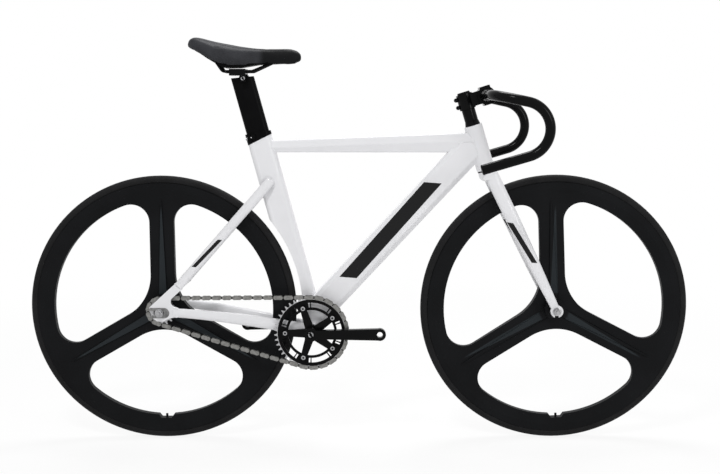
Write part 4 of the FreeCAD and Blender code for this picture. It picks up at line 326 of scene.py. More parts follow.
def placed_copy(source, turn, place):
    made = bpy.data.objects.new(source.name, source.data.copy())
    bpy.context.scene.collection.objects.link(made)
    made.data.transform(Matrix.Translation(place) @ turn.to_4x4())
    return made


def facing(axis):
    return axis.to_track_quat("Z", "Y").to_matrix()


def surface_of(node):
    mesh = frame["nodes"][node].data
    return BVHTree.FromPolygons([vertex.co for vertex in mesh.vertices],
                                [face.vertices for face in mesh.polygons])


def chains_of(lines):
    """Edges gathered into connected chains."""
    chains = []
    for line in lines:
        met = [chain for chain in chains if chain["points"] & set(line)]
        joined = {"points": set(line), "lines": [line]}
        for chain in met:
            joined["points"] |= chain["points"]
            joined["lines"] += chain["lines"]
            chains.remove(chain)
        chains.append(joined)
    return chains


def contour_lines(mesh, other):
    """Outer edges along which a tube's wall meets another tube's surface."""
    near, keep_share = 0.0003, 0.72
    surface = surface_of(other)
    touching = [surface.find_nearest(vertex.co)[3] < near for vertex in mesh.vertices]
    walls = {}
    for face in mesh.polygons:
        lies_on = all(touching[number] for number in face.vertices)
        lies_on = lies_on and surface.find_nearest(face.center)[3] < near
        for key in face.edge_keys:
            walls.setdefault(key, []).append(lies_on)
    found = chains_of([key for key, sides in walls.items() if sorted(sides) == [False, True]])

    def run(chain):
        return sum((mesh.vertices[first].co - mesh.vertices[last].co).length
                   for first, last in chain["lines"])

    longest = max(run(chain) for chain in found)
    kept = [chain for chain in found if run(chain) > longest * keep_share]
    return {tuple(line) for chain in kept for line in chain["lines"]}


def weld_bead(node, other, radius):
    """A round bead along the line where one tube is cut against another."""
    tube = node_copy(node, f"{node}_{other}")
    kept = contour_lines(tube.data, other)
    edit(tube)
    bpy.ops.mesh.select_mode(type="EDGE")
    leave_edit()
    used = {number for key in kept for number in key}
    for face in tube.data.polygons:
        face.select = False
    for line in tube.data.edges:
        line.select = tuple(line.key) in kept
    for vertex in tube.data.vertices:
        vertex.select = vertex.index in used
    bpy.ops.object.mode_set(mode="EDIT")
    bpy.ops.mesh.duplicate()
    bpy.ops.mesh.separate(type="SELECTED")
    leave_edit()
    bead = next(piece for piece in bpy.context.selected_objects if piece != tube)
    bpy.data.objects.remove(tube)
    edit(bead)
    bpy.ops.mesh.select_all(action="SELECT")
    bpy.ops.mesh.remove_doubles(threshold=radius / 2)
    leave_edit()
    bpy.ops.object.convert(target="CURVE")
    bead.data.bevel_depth = radius
    bead.data.bevel_resolution = BEAD_ROUNDNESS
    bead.data.use_fill_caps = True
    bpy.ops.object.convert(target="MESH")
    bpy.ops.object.shade_smooth()
    return bpy.context.object


# Helpers for materials


def add_node(tree, kind, inputs=None, **settings):
    made = tree.nodes.new(kind)
    for name, value in settings.items():
        setattr(made, name, value)
    for name, value in (inputs or {}).items():
        if isinstance(value, bpy.types.NodeSocket):
            tree.links.new(value, made.inputs[name])
        else:
            made.inputs[name].default_value = value
    return made


def math_node(tree, operation, first, second=0.0, third=0.0):
    return add_node(tree, "ShaderNodeMath", {0: first, 1: second, 2: third}, operation=operation).outputs[0]


def ranged(tree, value, low, high, to_low=0.0, to_high=1.0):
    """A value carried smoothly from one range to another."""
    made = add_node(tree, "ShaderNodeMapRange",
                    {"Value": value, "From Min": low, "From Max": high, "To Min": to_low, "To Max": to_high})
    made.interpolation_type = "SMOOTHSTEP"
    return made.outputs["Result"]


def mixed(tree, mask, first, second):
    made = add_node(tree, "ShaderNodeMix", data_type="RGBA")
    for socket, value in ((0, mask), (6, first), (7, second)):
        if isinstance(value, bpy.types.NodeSocket):
            tree.links.new(value, made.inputs[socket])
        else:
            made.inputs[socket].default_value = value
    return made.outputs[2]


def solid(rgb):
    return (rgb[0], rgb[1], rgb[2], 1.0)


def toned(rgb, share):
    return tuple(min(1.0, channel * share) for channel in rgb)


def new_group(name, inputs, outputs):
    """A node group with named value or vector sockets."""
    tree = bpy.data.node_groups.new(name, "ShaderNodeTree")
    kinds = {"value": "NodeSocketFloat", "vector": "NodeSocketVector"}
    for label, kind, default in inputs:
        socket = tree.interface.new_socket(name=label, in_out="INPUT", socket_type=kinds[kind])
        socket.default_value = default
    for label, kind in outputs:
        tree.interface.new_socket(name=label, in_out="OUTPUT", socket_type=kinds[kind])
    return tree, tree.nodes.new("NodeGroupInput").outputs, tree.nodes.new("NodeGroupOutput").inputs


def variation_group():
    """Soft blotches and fine speckle over a surface, for colour and roughness."""
    blotch_range, speckle_range = (0.3, 0.7), (0.35, 0.65)
    blotch_detail, speckle_detail = 3.0, 2.0
    tree, inside, outside = new_group(
        "Surface variation",
        [("Scale", "value", 20.0), ("Fine scale", "value", 300.0)],
        [("Blotch", "value"), ("Speckle", "value")])
    place = add_node(tree, "ShaderNodeTexCoord").outputs["Object"]
    blotch = add_node(tree, "ShaderNodeTexNoise",
                      {"Vector": place, "Scale": inside["Scale"], "Detail": blotch_detail})
    speckle = add_node(tree, "ShaderNodeTexNoise",
                       {"Vector": place, "Scale": inside["Fine scale"], "Detail": speckle_detail})
    tree.links.new(ranged(tree, blotch.outputs["Fac"], *blotch_range), outside["Blotch"])
    tree.links.new(ranged(tree, speckle.outputs["Fac"], *speckle_range), outside["Speckle"])
    return tree


def panel_group():
    """A slanted bar on a tube: its length, height and slant are along the tube's own axes."""
    tree, inside, outside = new_group(
        "Panel",
        [("Place", "vector", (0, 0, 0)), ("Half length", "value", 0.1), ("Half height", "value", 0.01),
         ("Slant", "value", 0.5)],
        [("Mask", "value")])
    parts = add_node(tree, "ShaderNodeSeparateXYZ", {"Vector": inside["Place"]}).outputs
    leaning = math_node(tree, "MULTIPLY_ADD", parts["Z"], inside["Slant"], parts["X"])
    along = math_node(tree, "SUBTRACT", inside["Half length"], math_node(tree, "ABSOLUTE", leaning))
    across = math_node(tree, "SUBTRACT", inside["Half height"], math_node(tree, "ABSOLUTE", parts["Z"]))
    inner = math_node(tree, "MINIMUM", along, across)
    tree.links.new(ranged(tree, inner, 0.0, PANEL_EDGE), outside["Mask"])
    return tree


def from_hub(tree, inside):
    """Object coordinates measured from a wheel's hub: forward, sideways and up."""
    place = add_node(tree, "ShaderNodeTexCoord").outputs["Object"]
    parts = add_node(tree, "ShaderNodeSeparateXYZ", {"Vector": place}).outputs
    forward = math_node(tree, "SUBTRACT", parts["X"], inside["Hub X"])
    upward = math_node(tree, "SUBTRACT", parts["Z"], inside["Hub Z"])
    return forward, parts["Y"], upward


def hatch_group():
    """Fine slanted cuts around a tyre's shoulders, and a smooth band along its crown."""
    tree, inside, outside = new_group(
        "Tread", [("Hub X", "value", 0.0), ("Hub Z", "value", 0.334), ("Cuts", "value", 420.0)],
        [("Height", "value")])
    forward, side, upward = from_hub(tree, inside)
    angle = math_node(tree, "ARCTAN2", upward, forward)
    side = math_node(tree, "ABSOLUTE", side)
    turns = math_node(tree, "MULTIPLY", angle, inside["Cuts"])
    lean = math_node(tree, "MULTIPLY_ADD", side, CUT_LEAN, turns)
    cut = ranged(tree, math_node(tree, "SINE", lean), *CUT_SHARES)
    inner_edge = ranged(tree, side, *CROWN_EDGE)
    outer_edge = ranged(tree, side, *SHOULDER_EDGE, 1.0, 0.0)
    shoulder = math_node(tree, "MULTIPLY", inner_edge, outer_edge)
    tree.links.new(math_node(tree, "MULTIPLY", cut, shoulder), outside["Height"])
    return tree


def ridge_group():
    """The flat top of the raised band along each of a wheel's three spokes, where the wheel's painted
    highlight lies.
    """
    tree, inside, outside = new_group(
        "Spoke ridge", [("Hub X", "value", 0.0), ("Hub Z", "value", 0.334)], [("Mask", "value")])
    half_pitch, square_root = math.radians(60), 0.5
    forward, _, upward = from_hub(tree, inside)
    angle = math_node(tree, "ARCTAN2", forward, upward)
    squares = math_node(tree, "ADD", math_node(tree, "MULTIPLY", forward, forward),
                        math_node(tree, "MULTIPLY", upward, upward))
    reach = math_node(tree, "POWER", squares, square_root)
    turned = math_node(tree, "WRAP", angle, half_pitch, -half_pitch)
    across = math_node(tree, "ABSOLUTE", math_node(tree, "MULTIPLY", math_node(tree, "SINE", turned), reach))
    edge = ranged(tree, reach, HUB_REACH, RIM_REACH, RIDGE_AT_HUB, RIDGE_AT_RIM)
    edge.node.interpolation_type = "LINEAR"
    inner = math_node(tree, "SUBTRACT", edge, across)
    along = math_node(tree, "MULTIPLY", ranged(tree, reach, *RIDGE_FADES_IN),
                      ranged(tree, reach, *RIDGE_FADES_OUT, 1, 0))
    top = ranged(tree, inner, -RIDGE_EDGE, RIDGE_EDGE)
    tree.links.new(math_node(tree, "MULTIPLY", top, along), outside["Mask"])
    return tree


def new_material(name, metallic=0.0, coat=0.0, coat_roughness=0.05, specular=0.5):
    material = bpy.data.materials.new(name)
    material.use_nodes = True
    tree = material.node_tree
    shader = tree.nodes["Principled BSDF"]
    shader.inputs["Metallic"].default_value = metallic
    shader.inputs["Coat Weight"].default_value = coat
    shader.inputs["Coat Roughness"].default_value = coat_roughness
    shader.inputs["Specular IOR Level"].default_value = specular
    return material, tree, shader


def bump(tree, shader, height, strength, distance):
    made = add_node(tree, "ShaderNodeBump", {"Height": height, "Strength": strength, "Distance": distance})
    tree.links.new(made.outputs["Normal"], shader.inputs["Normal"])


def varied_material(name, rgb, rough, shares, scales, bump_strength=0.1, bump_distance=0.0001,
                    **settings):
    """A finish whose colour drifts in soft blotches and whose gloss breaks up in fine speckle."""
    material, tree, shader = new_material(name, **settings)
    group = add_node(tree, "ShaderNodeGroup", node_tree=GROUPS["variation"])
    group.inputs["Scale"].default_value = scales[0]
    group.inputs["Fine scale"].default_value = scales[1]
    base = mixed(tree, group.outputs["Blotch"], solid(toned(rgb, shares[0])), solid(toned(rgb, shares[1])))
    tree.links.new(base, shader.inputs["Base Color"])
    tree.links.new(ranged(tree, group.outputs["Speckle"], 0.0, 1.0, rough[0], rough[1]),
                   shader.inputs["Roughness"])
    if bump_strength:
        bump(tree, shader, group.outputs["Speckle"], bump_strength, bump_distance)
    return material, tree, shader, base


def tube_place(tree, centre, along):
    """Object coordinates turned so that X runs along a tube and Z across its side."""
    place = add_node(tree, "ShaderNodeTexCoord").outputs["Object"]
    lean = math.atan2(along.z, along.x)
    moved = add_node(tree, "ShaderNodeVectorMath", {0: place, 1: centre}, operation="SUBTRACT").outputs[0]
    return add_node(tree, "ShaderNodeVectorRotate", {"Vector": moved, "Angle": lean},
                    rotation_type="Y_AXIS").outputs[0]


def colour_over(tree, shader, base, mask, rgb):
    """Lays a second colour over a finish where a mask says so."""
    tree.links.new(mixed(tree, mask, base, solid(tuple(rgb))), shader.inputs["Base Color"])


GROUPS = {}
FINISHES = {}


def painted(name, panel=None):
    """Gloss paint, with a plain dark panel where a tube carries one."""
    colours = bpy.context.scene.bike_colours
    material, tree, shader, base = varied_material(
        name, tuple(colours.paint), rough=(0.16, 0.22), shares=(0.985, 1.01), scales=(9.0, 260.0),
        bump_strength=0.03, bump_distance=0.00005, coat=0.10, coat_roughness=0.05, specular=0.15)
    if panel:
        centre, along, half_length, half_height, slant = panel
        group = add_node(tree, "ShaderNodeGroup", node_tree=GROUPS["panel"])
        tree.links.new(tube_place(tree, centre, along), group.inputs["Place"])
        group.inputs["Half length"].default_value = half_length
        group.inputs["Half height"].default_value = half_height
        group.inputs["Slant"].default_value = slant
        colour_over(tree, shader, base, group.outputs["Mask"], colours.panel)
    return material


def tyre_material(name, hub):
    """Matt rubber with a cut tread."""
    colours = bpy.context.scene.bike_colours
    material, tree, shader = varied_material(
        name, tuple(colours.rubber), rough=(0.62, 0.78), shares=(0.8, 1.25), scales=(18.0, 500.0),
        bump_strength=0.0, specular=0.14)[:3]
    tread = add_node(tree, "ShaderNodeGroup", node_tree=GROUPS["tread"])
    tread.inputs["Hub X"].default_value = hub.x
    tread.inputs["Hub Z"].default_value = hub.z
    bump(tree, shader, tread.outputs["Height"], strength=0.5, distance=0.0005)
    return material


def wheel_material(name, hub):
    """Satin moulding, with a painted highlight on the raised band of each spoke."""
    colours = bpy.context.scene.bike_colours
    material, tree, shader, base = varied_material(
        name, tuple(colours.composite), rough=(0.40, 0.50), shares=(0.85, 1.25), scales=(9.0, 1400.0),
        specular=0.08)
    group = add_node(tree, "ShaderNodeGroup", node_tree=GROUPS["ridge"])
    group.inputs["Hub X"].default_value = hub.x
    group.inputs["Hub Z"].default_value = hub.z
    # Painted highlight laid on the raised band of each spoke
    colour_over(tree, shader, base, group.outputs["Mask"], colours.ridge)
    return material


def ring_material(name):
    """Black face with bare metal on the teeth."""
    colours = bpy.context.scene.bike_colours
    material, tree, shader, base = varied_material(
        name, tuple(colours.gloss_black), rough=(0.28, 0.40), shares=(0.9, 1.2), scales=(60.0, 1200.0),
        specular=0.06)
    place = add_node(tree, "ShaderNodeTexCoord").outputs["Object"]
    moved = add_node(tree, "ShaderNodeVectorMath", {0: place, 1: BRACKET}, operation="SUBTRACT").outputs[0]
    flat = add_node(tree, "ShaderNodeVectorMath", {0: moved, 1: (1, 0, 1)}, operation="MULTIPLY").outputs[0]
    reach = add_node(tree, "ShaderNodeVectorMath", {0: flat}, operation="LENGTH").outputs["Value"]
    bare = ranged(tree, reach, *BARE_TEETH)
    colour_over(tree, shader, base, bare, colours.alloy)
    tree.links.new(bare, shader.inputs["Metallic"])
    return material


def leather_material(name):
    """Matt cover with a fine grain, darker on the nose."""
    colours = bpy.context.scene.bike_colours
    material, tree, shader, base = varied_material(
        name, tuple(colours.leather), rough=(0.50, 0.62), shares=(0.85, 1.2), scales=(30.0, 900.0),
        bump_strength=0.0, specular=0.10)
    nose_share, grain_scale = 0.16, 1100.0
    place = add_node(tree, "ShaderNodeTexCoord").outputs["Object"]
    forward = add_node(tree, "ShaderNodeSeparateXYZ", {"Vector": place}).outputs["X"]
    nose = ranged(tree, forward, *SADDLE_NOSE)
    colour_over(tree, shader, base, nose, toned(colours.leather, nose_share))
    grain = add_node(tree, "ShaderNodeTexVoronoi", {"Vector": place, "Scale": grain_scale})
    bump(tree, shader, grain.outputs["Distance"], strength=0.3, distance=0.0002)
    return material


def make_finishes():
    colours = bpy.context.scene.bike_colours
    GROUPS["variation"] = variation_group()
    GROUPS["panel"] = panel_group()
    GROUPS["tread"] = hatch_group()
    GROUPS["ridge"] = ridge_group()
    FINISHES["paint"] = painted("gloss_paint")
    for label, panel in PANELS.items():
        FINISHES[label] = painted(label, panel)
    for label, hub in (("rear", REAR_HUB), ("front", FRONT_HUB)):
        FINISHES[f"{label}_tyre"] = tyre_material(f"{label}_tyre_rubber", hub)
        FINISHES[f"{label}_wheel"] = wheel_material(f"{label}_wheel_moulding", hub)
    FINISHES["ring"] = ring_material("chainring_face")
    FINISHES["leather"] = leather_material("saddle_leather")
    black = {"specular": 0.04}
    glossy = {"specular": 0.07}
    metal = {"metallic": 1.0}
    # Finish, colour, roughness, tone shares, blotch and speckle scales, and the shader's settings
    for label, rgb, rough, shares, scales, settings in [
        ("tube", colours.rubber, (0.55, 0.65), (0.8, 1.2), (20.0, 400.0), black),
        ("gloss", colours.gloss_black, (0.12, 0.20), (0.9, 1.2), (30.0, 900.0), glossy),
        ("satin", colours.satin_black, (0.30, 0.42), (0.85, 1.2), (30.0, 1300.0), black),
        ("shell", colours.satin_black, (0.45, 0.60), (0.9, 1.2), (40.0, 800.0), black),
        ("steel", colours.steel, (0.24, 0.36), (0.85, 1.1), (90.0, 1500.0), metal),
        # Painted shade inside the bolt sockets
        ("socket", colours.socket, (0.5, 0.6), (0.8, 1.2), (90.0, 1500.0), metal),
        # Painted shade in the rear axle slot
        ("slot_face", colours.slot_face, (0.34, 0.50), (0.7, 1.3), (160.0, 1500.0), metal),
        ("alloy", colours.alloy, (0.30, 0.45), (0.8, 1.1), (120.0, 1500.0), metal),
        ("chain", colours.chain, (0.30, 0.50), (0.8, 1.2), (150.0, 1500.0), metal),
        # Painted shade on the chain's inner plates and rollers
        ("chain_inner_shade", colours.chain_inner_shade, (0.40, 0.55), (0.7, 1.3), (150.0, 1500.0), metal),
    ]:
        FINISHES[label] = varied_material(label, tuple(rgb), rough, shares, scales, **settings)[0]


# Plain panels: centre, direction, half length, half height and slant
PANELS = {
    "down_tube_panel": (Vector((0.0795, 0, 0.532)), Vector((0.665, 0, 0.747)), 0.158, 0.0175, 0.75),
    "seatstay_panel": (Vector((-0.3705, 0, 0.4805)), Vector((0.697, 0, 0.717)), 0.046, 0.0045, 0.75),
    "fork_panel": (Vector((0.4025, 0, 0.504)), Vector((0.523, 0, -0.853)), 0.058, 0.0060, -0.75),
}
SLOT_FINISHES = {
    "frame_white": "paint", "tube_rubber": "tube", "bare_alloy": "alloy", "steel": "steel",
    "black_alloy": "gloss", "satin_black_alloy": "satin", "ring_black": "ring", "saddle_cover": "leather",
    "saddle_shell": "shell", "black_steel": "satin", "plug_plastic": "shell",
}
NODE_FINISHES = {
    "rear_tyre": "rear_tyre", "front_tyre": "front_tyre", "rear_wheel_casting": "rear_wheel",
    "front_wheel_casting": "front_wheel", "chain_outer_links": "chain", "chain_inner_links": "chain_inner_shade",
    # The crown race takes the satin black finish as painted shade: a dark line for the gap between head tube
    # and fork crown
    "dropout_slot_faces": "slot_face", "crown_race": "satin", "down_tube": "down_tube_panel",
    "seatstays": "seatstay_panel", "fork_blades": "fork_panel",
}


class BIKE_OT_finishes(bpy.types.Operator):
    """Give every solid of the bike its finish"""

    bl_idname = "bike.finishes"
    bl_label = "Finishes"

    def execute(self, context):
        make_finishes()
        for part in frame["record"]["subparts"]:
            finish = NODE_FINISHES.get(part["node"]) or SLOT_FINISHES[part["material_slot"]]
            dress(frame["nodes"][part["node"]], FINISHES[finish])
        return {"FINISHED"}


# Weld beads

WELDS = [
    ("top_tube", "head_tube"), ("top_tube", "seat_tube"), ("top_tube", "down_tube"),
    ("down_tube", "head_tube"), ("down_tube", "bottom_bracket_shell"),
    ("seat_tube", "bottom_bracket_shell"), ("seatstays", "seat_tube"),
    ("chainstays", "bottom_bracket_shell"), ("chainstays", "dropouts"),
    ("seatstays", "dropouts"),
]


class BIKE_OT_welds(bpy.types.Operator):
    """Run a smooth bead around each joint of the frame"""

    bl_idname = "bike.welds"
    bl_label = "Weld beads"

    def execute(self, context):
        radius = context.scene.bike_sizes.weld_radius
        beads = [weld_bead(node, other, radius) for node, other in WELDS]
        dress(join(beads, "frame_welds"), FINISHES["paint"], "frame")
        return {"FINISHED"}


# Bolts

BOLTS = [
    ("stem_bolts", "fork", [STEER_FORWARD, -SIDEWAYS], "satin", "black_steel"),
    ("top_cap_bolt", "fork", [STEER_UP], "steel", "steel"),
    ("seat_collar_bolt", "frame", [-SEAT_FORWARD], "steel", "steel"),
    ("saddle_clamp_bolt", "saddle_clamp", [-SIDEWAYS], "steel", "steel"),
    ("chainring_bolts", "crank", [-SIDEWAYS], "steel", "steel"),
    ("crank_bolts", "crank", [-SIDEWAYS, SIDEWAYS], "steel", "steel"),
]


# Bolts are alike where their lengths agree to this many digits of a metre
ALIKE_DIGITS = 4


def bolt_axis(points, axes):
    """The way a bolt points: along its longest side, and outwards from the middle of the bike."""
    return max(axes, key=lambda way: (round(extent(points, way), ALIKE_DIGITS),
                                      sum(point.dot(way) for point in points)))


class BIKE_OT_bolts(bpy.types.Operator):
    """Give each bolt a chamfered head with a six-sided socket"""

    bl_idname = "bike.bolts"
    bl_label = "Bolts"

    def execute(self, context):
        for node, body, axes, finish, slot in BOLTS:
            models = {}
            made = []
            for points in solids_of(node):
                axis = bolt_axis(points, axes)
                middle, levels, radii = turned_steps(points, axis)
                kind = (tuple(axis), len(levels), round(levels[-1] - levels[0], ALIKE_DIGITS))
                if kind not in models:
                    models[kind] = turned_bolt(node, [level - levels[0] for level in levels], radii)
                    models[kind].data.materials.append(FINISHES[finish])
                    models[kind].data.materials.append(FINISHES["socket"])
                made.append(placed_copy(models[kind], facing(axis), middle + axis * levels[0]))
            for model in models.values():
                bpy.data.objects.remove(model)
            piece = join(made, f"{node}_socketed")
            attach(piece, body)
            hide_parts(node)
        return {"FINISHED"}


# Saddle cover

SADDLE_REAR = -0.410
SADDLE_LENGTH = 0.273
SADDLE_HALF_WIDTH = 0.070


def eased(value, low, high):
    """A smooth step from 0 at the low value to 1 at the high one."""
    share = min(1.0, max(0.0, (value - low) / (high - low)))
    return share * share * (3 - 2 * share)


def inflate(piece, cap):
    """Swells a closed cover like stretched cloth and caps how far it goes."""
    scene = bpy.context.scene
    frames, pressure, underside = 20, 4, -0.3
    start = [vertex.co.copy() for vertex in piece.data.vertices]
    held = piece.vertex_groups.new(name="held")
    below = [vertex.index for vertex in piece.data.vertices if vertex.normal.z < underside]
    held.add(below, 1.0, "REPLACE")
    cloth = piece.modifiers.new("cover", "CLOTH")
    cloth.settings.use_pressure = True
    cloth.settings.uniform_pressure_force = pressure
    cloth.settings.effector_weights.gravity = 0
    cloth.settings.vertex_group_mass = "held"
    cloth.point_cache.frame_start = 1
    cloth.point_cache.frame_end = frames
    for number in range(1, frames + 1):
        scene.frame_set(number)
    apply_modifiers(piece)
    scene.frame_set(1)
    piece.vertex_groups.clear()
    for vertex, place in zip(piece.data.vertices, start):
        move = vertex.co - place
        if move.length > cap:
            vertex.co = place + move * (cap / move.length)


def sink_channel(piece, depth):
    """Presses a channel along the top, widest between the two rear lobes."""
    top_shares, lobe_shares = (0.1, 0.6), (0.16, 0.40)
    start_shares, end_shares = (-0.02, 0.06), (0.55, 0.72)
    narrow, widening = 0.011, 0.010
    for vertex in piece.data.vertices:
        share = (vertex.co.x - SADDLE_REAR) / SADDLE_LENGTH
        upward = eased(vertex.normal.z, *top_shares)
        lobes = 1 - eased(share, *lobe_shares)
        spread = narrow + widening * lobes
        run = eased(share, *start_shares) * (1 - eased(share, *end_shares))
        vertex.co.z -= depth * run * upward * math.exp(-(vertex.co.y / spread) ** 2)


def saddle_seam(cover, side, radius):
    """A sewn edge along one side of the top panel."""
    first_share, last_share, steps = 0.07, 0.94, 40
    rear_share, taper_share, taper_shares = 0.70, 0.50, (0.15, 0.70)
    above, sunk_share = 2, 1 / 3
    points = []
    for number in range(steps + 1):
        share = first_share + (last_share - first_share) * number / steps
        x = SADDLE_REAR + SADDLE_LENGTH * share
        half = SADDLE_HALF_WIDTH * (rear_share - taper_share * eased(share, *taper_shares))
        place, normal = cover.ray_cast(Vector((x, side * half, above)), Vector((0, 0, -1)))[1:3]
        points.append(place - normal * radius * sunk_share)
    deselect()
    bpy.ops.curve.primitive_nurbs_path_add()
    seam = bpy.context.object
    seam.location = (0, 0, 0)
    spline = seam.data.splines[0]
    spline.points.add(len(points) - len(spline.points))
    for knot, place in zip(spline.points, points):
        knot.co = (*place, 1)
    seam.data.bevel_depth = radius
    seam.data.bevel_resolution = BEAD_ROUNDNESS
    bpy.ops.object.convert(target="MESH")
    bpy.ops.object.shade_smooth()
    return settle(bpy.context.object)


class BIKE_OT_saddle(bpy.types.Operator):
    """Inflate a cover over the saddle's foam and sew its edges"""

    bl_idname = "bike.saddle"
    bl_label = "Saddle cover"

    def execute(self, context):
        sizes = context.scene.bike_sizes
        cover = node_copy("saddle_pad", "saddle_cover_piece")
        cells = cover.modifiers.new("cells", "REMESH")
        cells.mode = "VOXEL"
        cells.voxel_size = sizes.voxel
        apply_modifiers(cover)
        edit(cover)
        bpy.ops.mesh.select_all(action="SELECT")
        bpy.ops.transform.shrink_fatten(value=-sizes.slack)
        bpy.ops.mesh.vertices_smooth(factor=0.5, repeat=2)
        leave_edit()
        inflate(cover, sizes.swell)
        finer = cover.modifiers.new("finer", "SUBSURF")
        finer.levels = 1
        finer.render_levels = 1
        apply_modifiers(cover)
        sink_channel(cover, sizes.groove)
        activate(cover)
        bpy.ops.object.shade_smooth()
        dress(cover, FINISHES["leather"], "saddle")
        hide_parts("saddle_pad")
        context.view_layer.update()
        seams = join([saddle_seam(cover, side, sizes.seam_radius) for side in (-1, 1)], "saddle_seams")
        dress(seams, FINISHES["leather"], "saddle")
        return {"FINISHED"}


# Soft edges on the solids

CASTINGS = ["rear_wheel_casting", "front_wheel_casting"]
METAL_PARTS = [
    "stem_body", "stem_faceplate", "top_cap", "crank_arm_right", "crank_arm_left", "seatpost", "seat_collar",
    "saddle_clamp_cradle", "saddle_clamp_plates", "dropouts", "dropout_slot_faces", "rear_axle_nuts",
    "front_axle_nuts", "bar_end_plugs", "headset_spacers", "headset_cover",
]
# Faces within the first angle are one flat, and edges past the second are rounded
FLAT_ANGLE = math.radians(0.5)
SHARP_ANGLE = math.radians(40)


def soften(node, width, steps):
    """Rounds the sharp edges of a solid as it is shown."""
    piece = frame["nodes"][node]
    weld = piece.modifiers.new("weld", "WELD")
    weld.merge_threshold = SAME_POINT
    flats = piece.modifiers.new("flats", "DECIMATE")
    flats.decimate_type = "DISSOLVE"
    flats.angle_limit = FLAT_ANGLE
    edges = piece.modifiers.new("edges", "BEVEL")
    edges.width = width
    edges.segments = steps
    edges.limit_method = "ANGLE"
    edges.angle_limit = SHARP_ANGLE
    edges.use_clamp_overlap = True
    shading = piece.modifiers.new("shading", "WEIGHTED_NORMAL")
    shading.keep_sharp = True


class BIKE_OT_edges(bpy.types.Operator):
    """Round the edges of the wheels and of the small metal parts"""

    bl_idname = "bike.edges"
    bl_label = "Soft edges"

    def execute(self, context):
        sizes = context.scene.bike_sizes
        for node in CASTINGS:
            soften(node, sizes.casting_edge, steps=3)
        for node in METAL_PARTS:
            soften(node, sizes.metal_edge, steps=2)
        return {"FINISHED"}


# Stage

CAMERA_PLACE = Vector((0.0207, -2.5558, 0.8400))
CAMERA_YAW = math.radians(0.363)
CAMERA_PITCH = math.radians(-7.288)
CAMERA_ROLL = math.radians(-0.157)
SENSOR_WIDTH = 36
LIT_POINT = Vector((0, 0, 0.5))
# Lamps: place, size and share of the key light's power
LAMPS = {
    "key_light": (Vector((-0.9, -2.2, 3.2)), 0.7, 1.0),
    "fill_light": (Vector((2.2, -2.4, 1.5)), 0.9, 0.4),
    "top_light": (Vector((0.3, 0.9, 2.8)), 1.2, 1.0),
}


def soft_light(name, place, size, power):
    bpy.ops.object.light_add(type="AREA", location=place)
    lamp = bpy.context.object
    lamp.name = name
    lamp.data.shape = "DISK"
    lamp.data.size = size
    lamp.data.energy = power
    lamp.rotation_euler = (LIT_POINT - place).to_track_quat("-Z", "Y").to_euler()


def seen_rays(tree):
    """One for the rays that look at or mirror the studio, none for those that light the bike."""
    path = add_node(tree, "ShaderNodeLightPath").outputs
    mirrored = math_node(tree, "MAXIMUM", path["Is Glossy Ray"], path["Is Transmission Ray"])
    return math_node(tree, "MAXIMUM", path["Is Camera Ray"], mirrored)


def lay_floor():
    """A pale floor that keeps the shadow near the bike and fades to white."""
    size, white, roughness = 60, 0.93, 0.9
    fade, strength = (0.7, 2.6), (0.86, 1.0)
    deselect()
    bpy.ops.mesh.primitive_plane_add(size=size, location=(0, 0, 0))
    floor = bpy.context.object
    floor.name = "floor"
    material, tree, shader = new_material("floor_white")
    shader.inputs["Base Color"].default_value = (white, white, white, 1)
    shader.inputs["Roughness"].default_value = roughness
    glow = add_node(tree, "ShaderNodeEmission", {"Color": (1, 1, 1, 1), "Strength": 1.0})
    place = add_node(tree, "ShaderNodeTexCoord").outputs["Object"]
    away = add_node(tree, "ShaderNodeVectorMath", {0: place}, operation="LENGTH").outputs["Value"]
    veil = math_node(tree, "MULTIPLY", seen_rays(tree), ranged(tree, away, *fade, *strength))
    blend = add_node(tree, "ShaderNodeMixShader", {0: veil, 1: shader.outputs[0], 2: glow.outputs[0]})
    tree.links.new(blend.outputs[0], tree.nodes["Material Output"].inputs["Surface"])
    floor.data.materials.append(material)


def light_world(ambient):
    """White to look at and in mirrored light, and dimmer where it lights the bike."""
    world = bpy.data.worlds.new("studio")
    bpy.context.scene.world = world
    world.use_nodes = True
    tree = world.node_tree
    background = tree.nodes["Background"].inputs
    tree.links.new(ranged(tree, seen_rays(tree), 0.0, 1.0, ambient, 1.0), background["Strength"])
    background["Color"].default_value = (1, 1, 1, 1)


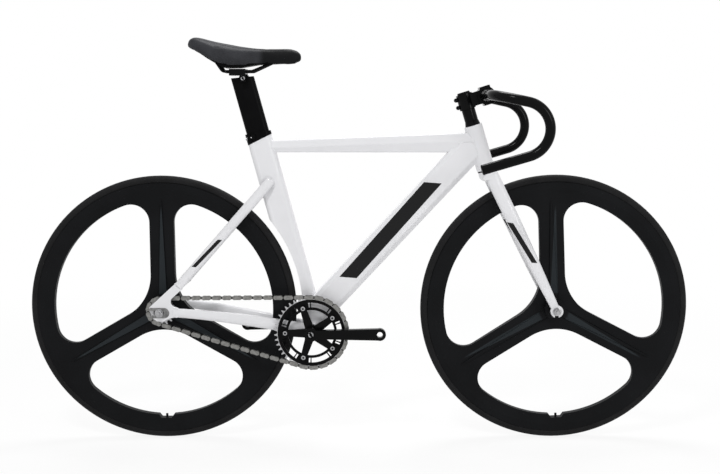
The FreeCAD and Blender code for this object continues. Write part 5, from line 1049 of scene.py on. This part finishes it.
def place_camera(lens):
    """A camera at the side of the bike, turned by its yaw, pitch and roll."""
    forward = Vector((-math.sin(CAMERA_YAW) * math.cos(CAMERA_PITCH),
                      math.cos(CAMERA_YAW) * math.cos(CAMERA_PITCH), math.sin(CAMERA_PITCH)))
    right = Vector((math.cos(CAMERA_YAW), math.sin(CAMERA_YAW), 0))
    upward = right.cross(forward)
    turned_right = right * math.cos(CAMERA_ROLL) + upward * math.sin(CAMERA_ROLL)
    turned_up = upward * math.cos(CAMERA_ROLL) - right * math.sin(CAMERA_ROLL)
    bpy.ops.object.camera_add(location=CAMERA_PLACE)
    camera = bpy.context.object
    camera.data.lens = lens
    camera.data.sensor_width = SENSOR_WIDTH
    turn = Matrix((turned_right, turned_up, -forward)).transposed()
    camera.rotation_euler = turn.to_euler()
    bpy.context.scene.camera = camera


class BIKE_OT_stage(bpy.types.Operator):
    """Set out the floor, the lights and the camera"""

    bl_idname = "bike.stage"
    bl_label = "Stage"

    def execute(self, context):
        settings = context.scene.bike_stage
        lay_floor()
        light_world(settings.ambient)
        for name, (place, size, share) in LAMPS.items():
            soft_light(name, place, size, settings.key_power * share)
        place_camera(settings.lens)
        context.scene.view_settings.view_transform = "Standard"
        return {"FINISHED"}


class BIKE_PT_parts(bpy.types.Panel):
    """Lists the steps that dress the bike"""

    bl_idname = "BIKE_PT_parts"
    bl_label = "Fixed Gear Bike"
    bl_space_type = "VIEW_3D"
    bl_region_type = "UI"
    bl_category = "Bike"

    def draw(self, context):
        for operator in OPERATORS:
            self.layout.operator(operator.bl_idname)


OPERATORS = [
    BIKE_OT_finishes, BIKE_OT_edges, BIKE_OT_welds, BIKE_OT_bolts, BIKE_OT_saddle, BIKE_OT_stage,
]
CLASSES = [BikeColours, BikeSizes, BikeStage, *OPERATORS, BIKE_PT_parts]


def register():
    for piece in CLASSES:
        bpy.utils.register_class(piece)
    bpy.types.Scene.bike_colours = PointerProperty(type=BikeColours)
    bpy.types.Scene.bike_sizes = PointerProperty(type=BikeSizes)
    bpy.types.Scene.bike_stage = PointerProperty(type=BikeStage)


def unregister():
    del bpy.types.Scene.bike_stage
    del bpy.types.Scene.bike_sizes
    del bpy.types.Scene.bike_colours
    for piece in reversed(CLASSES):
        bpy.utils.unregister_class(piece)


def main():
    register()
    for operator in OPERATORS:
        group, name = operator.bl_idname.split(".")
        getattr(getattr(bpy.ops, group), name)()


if __name__ == "__main__":
    main()
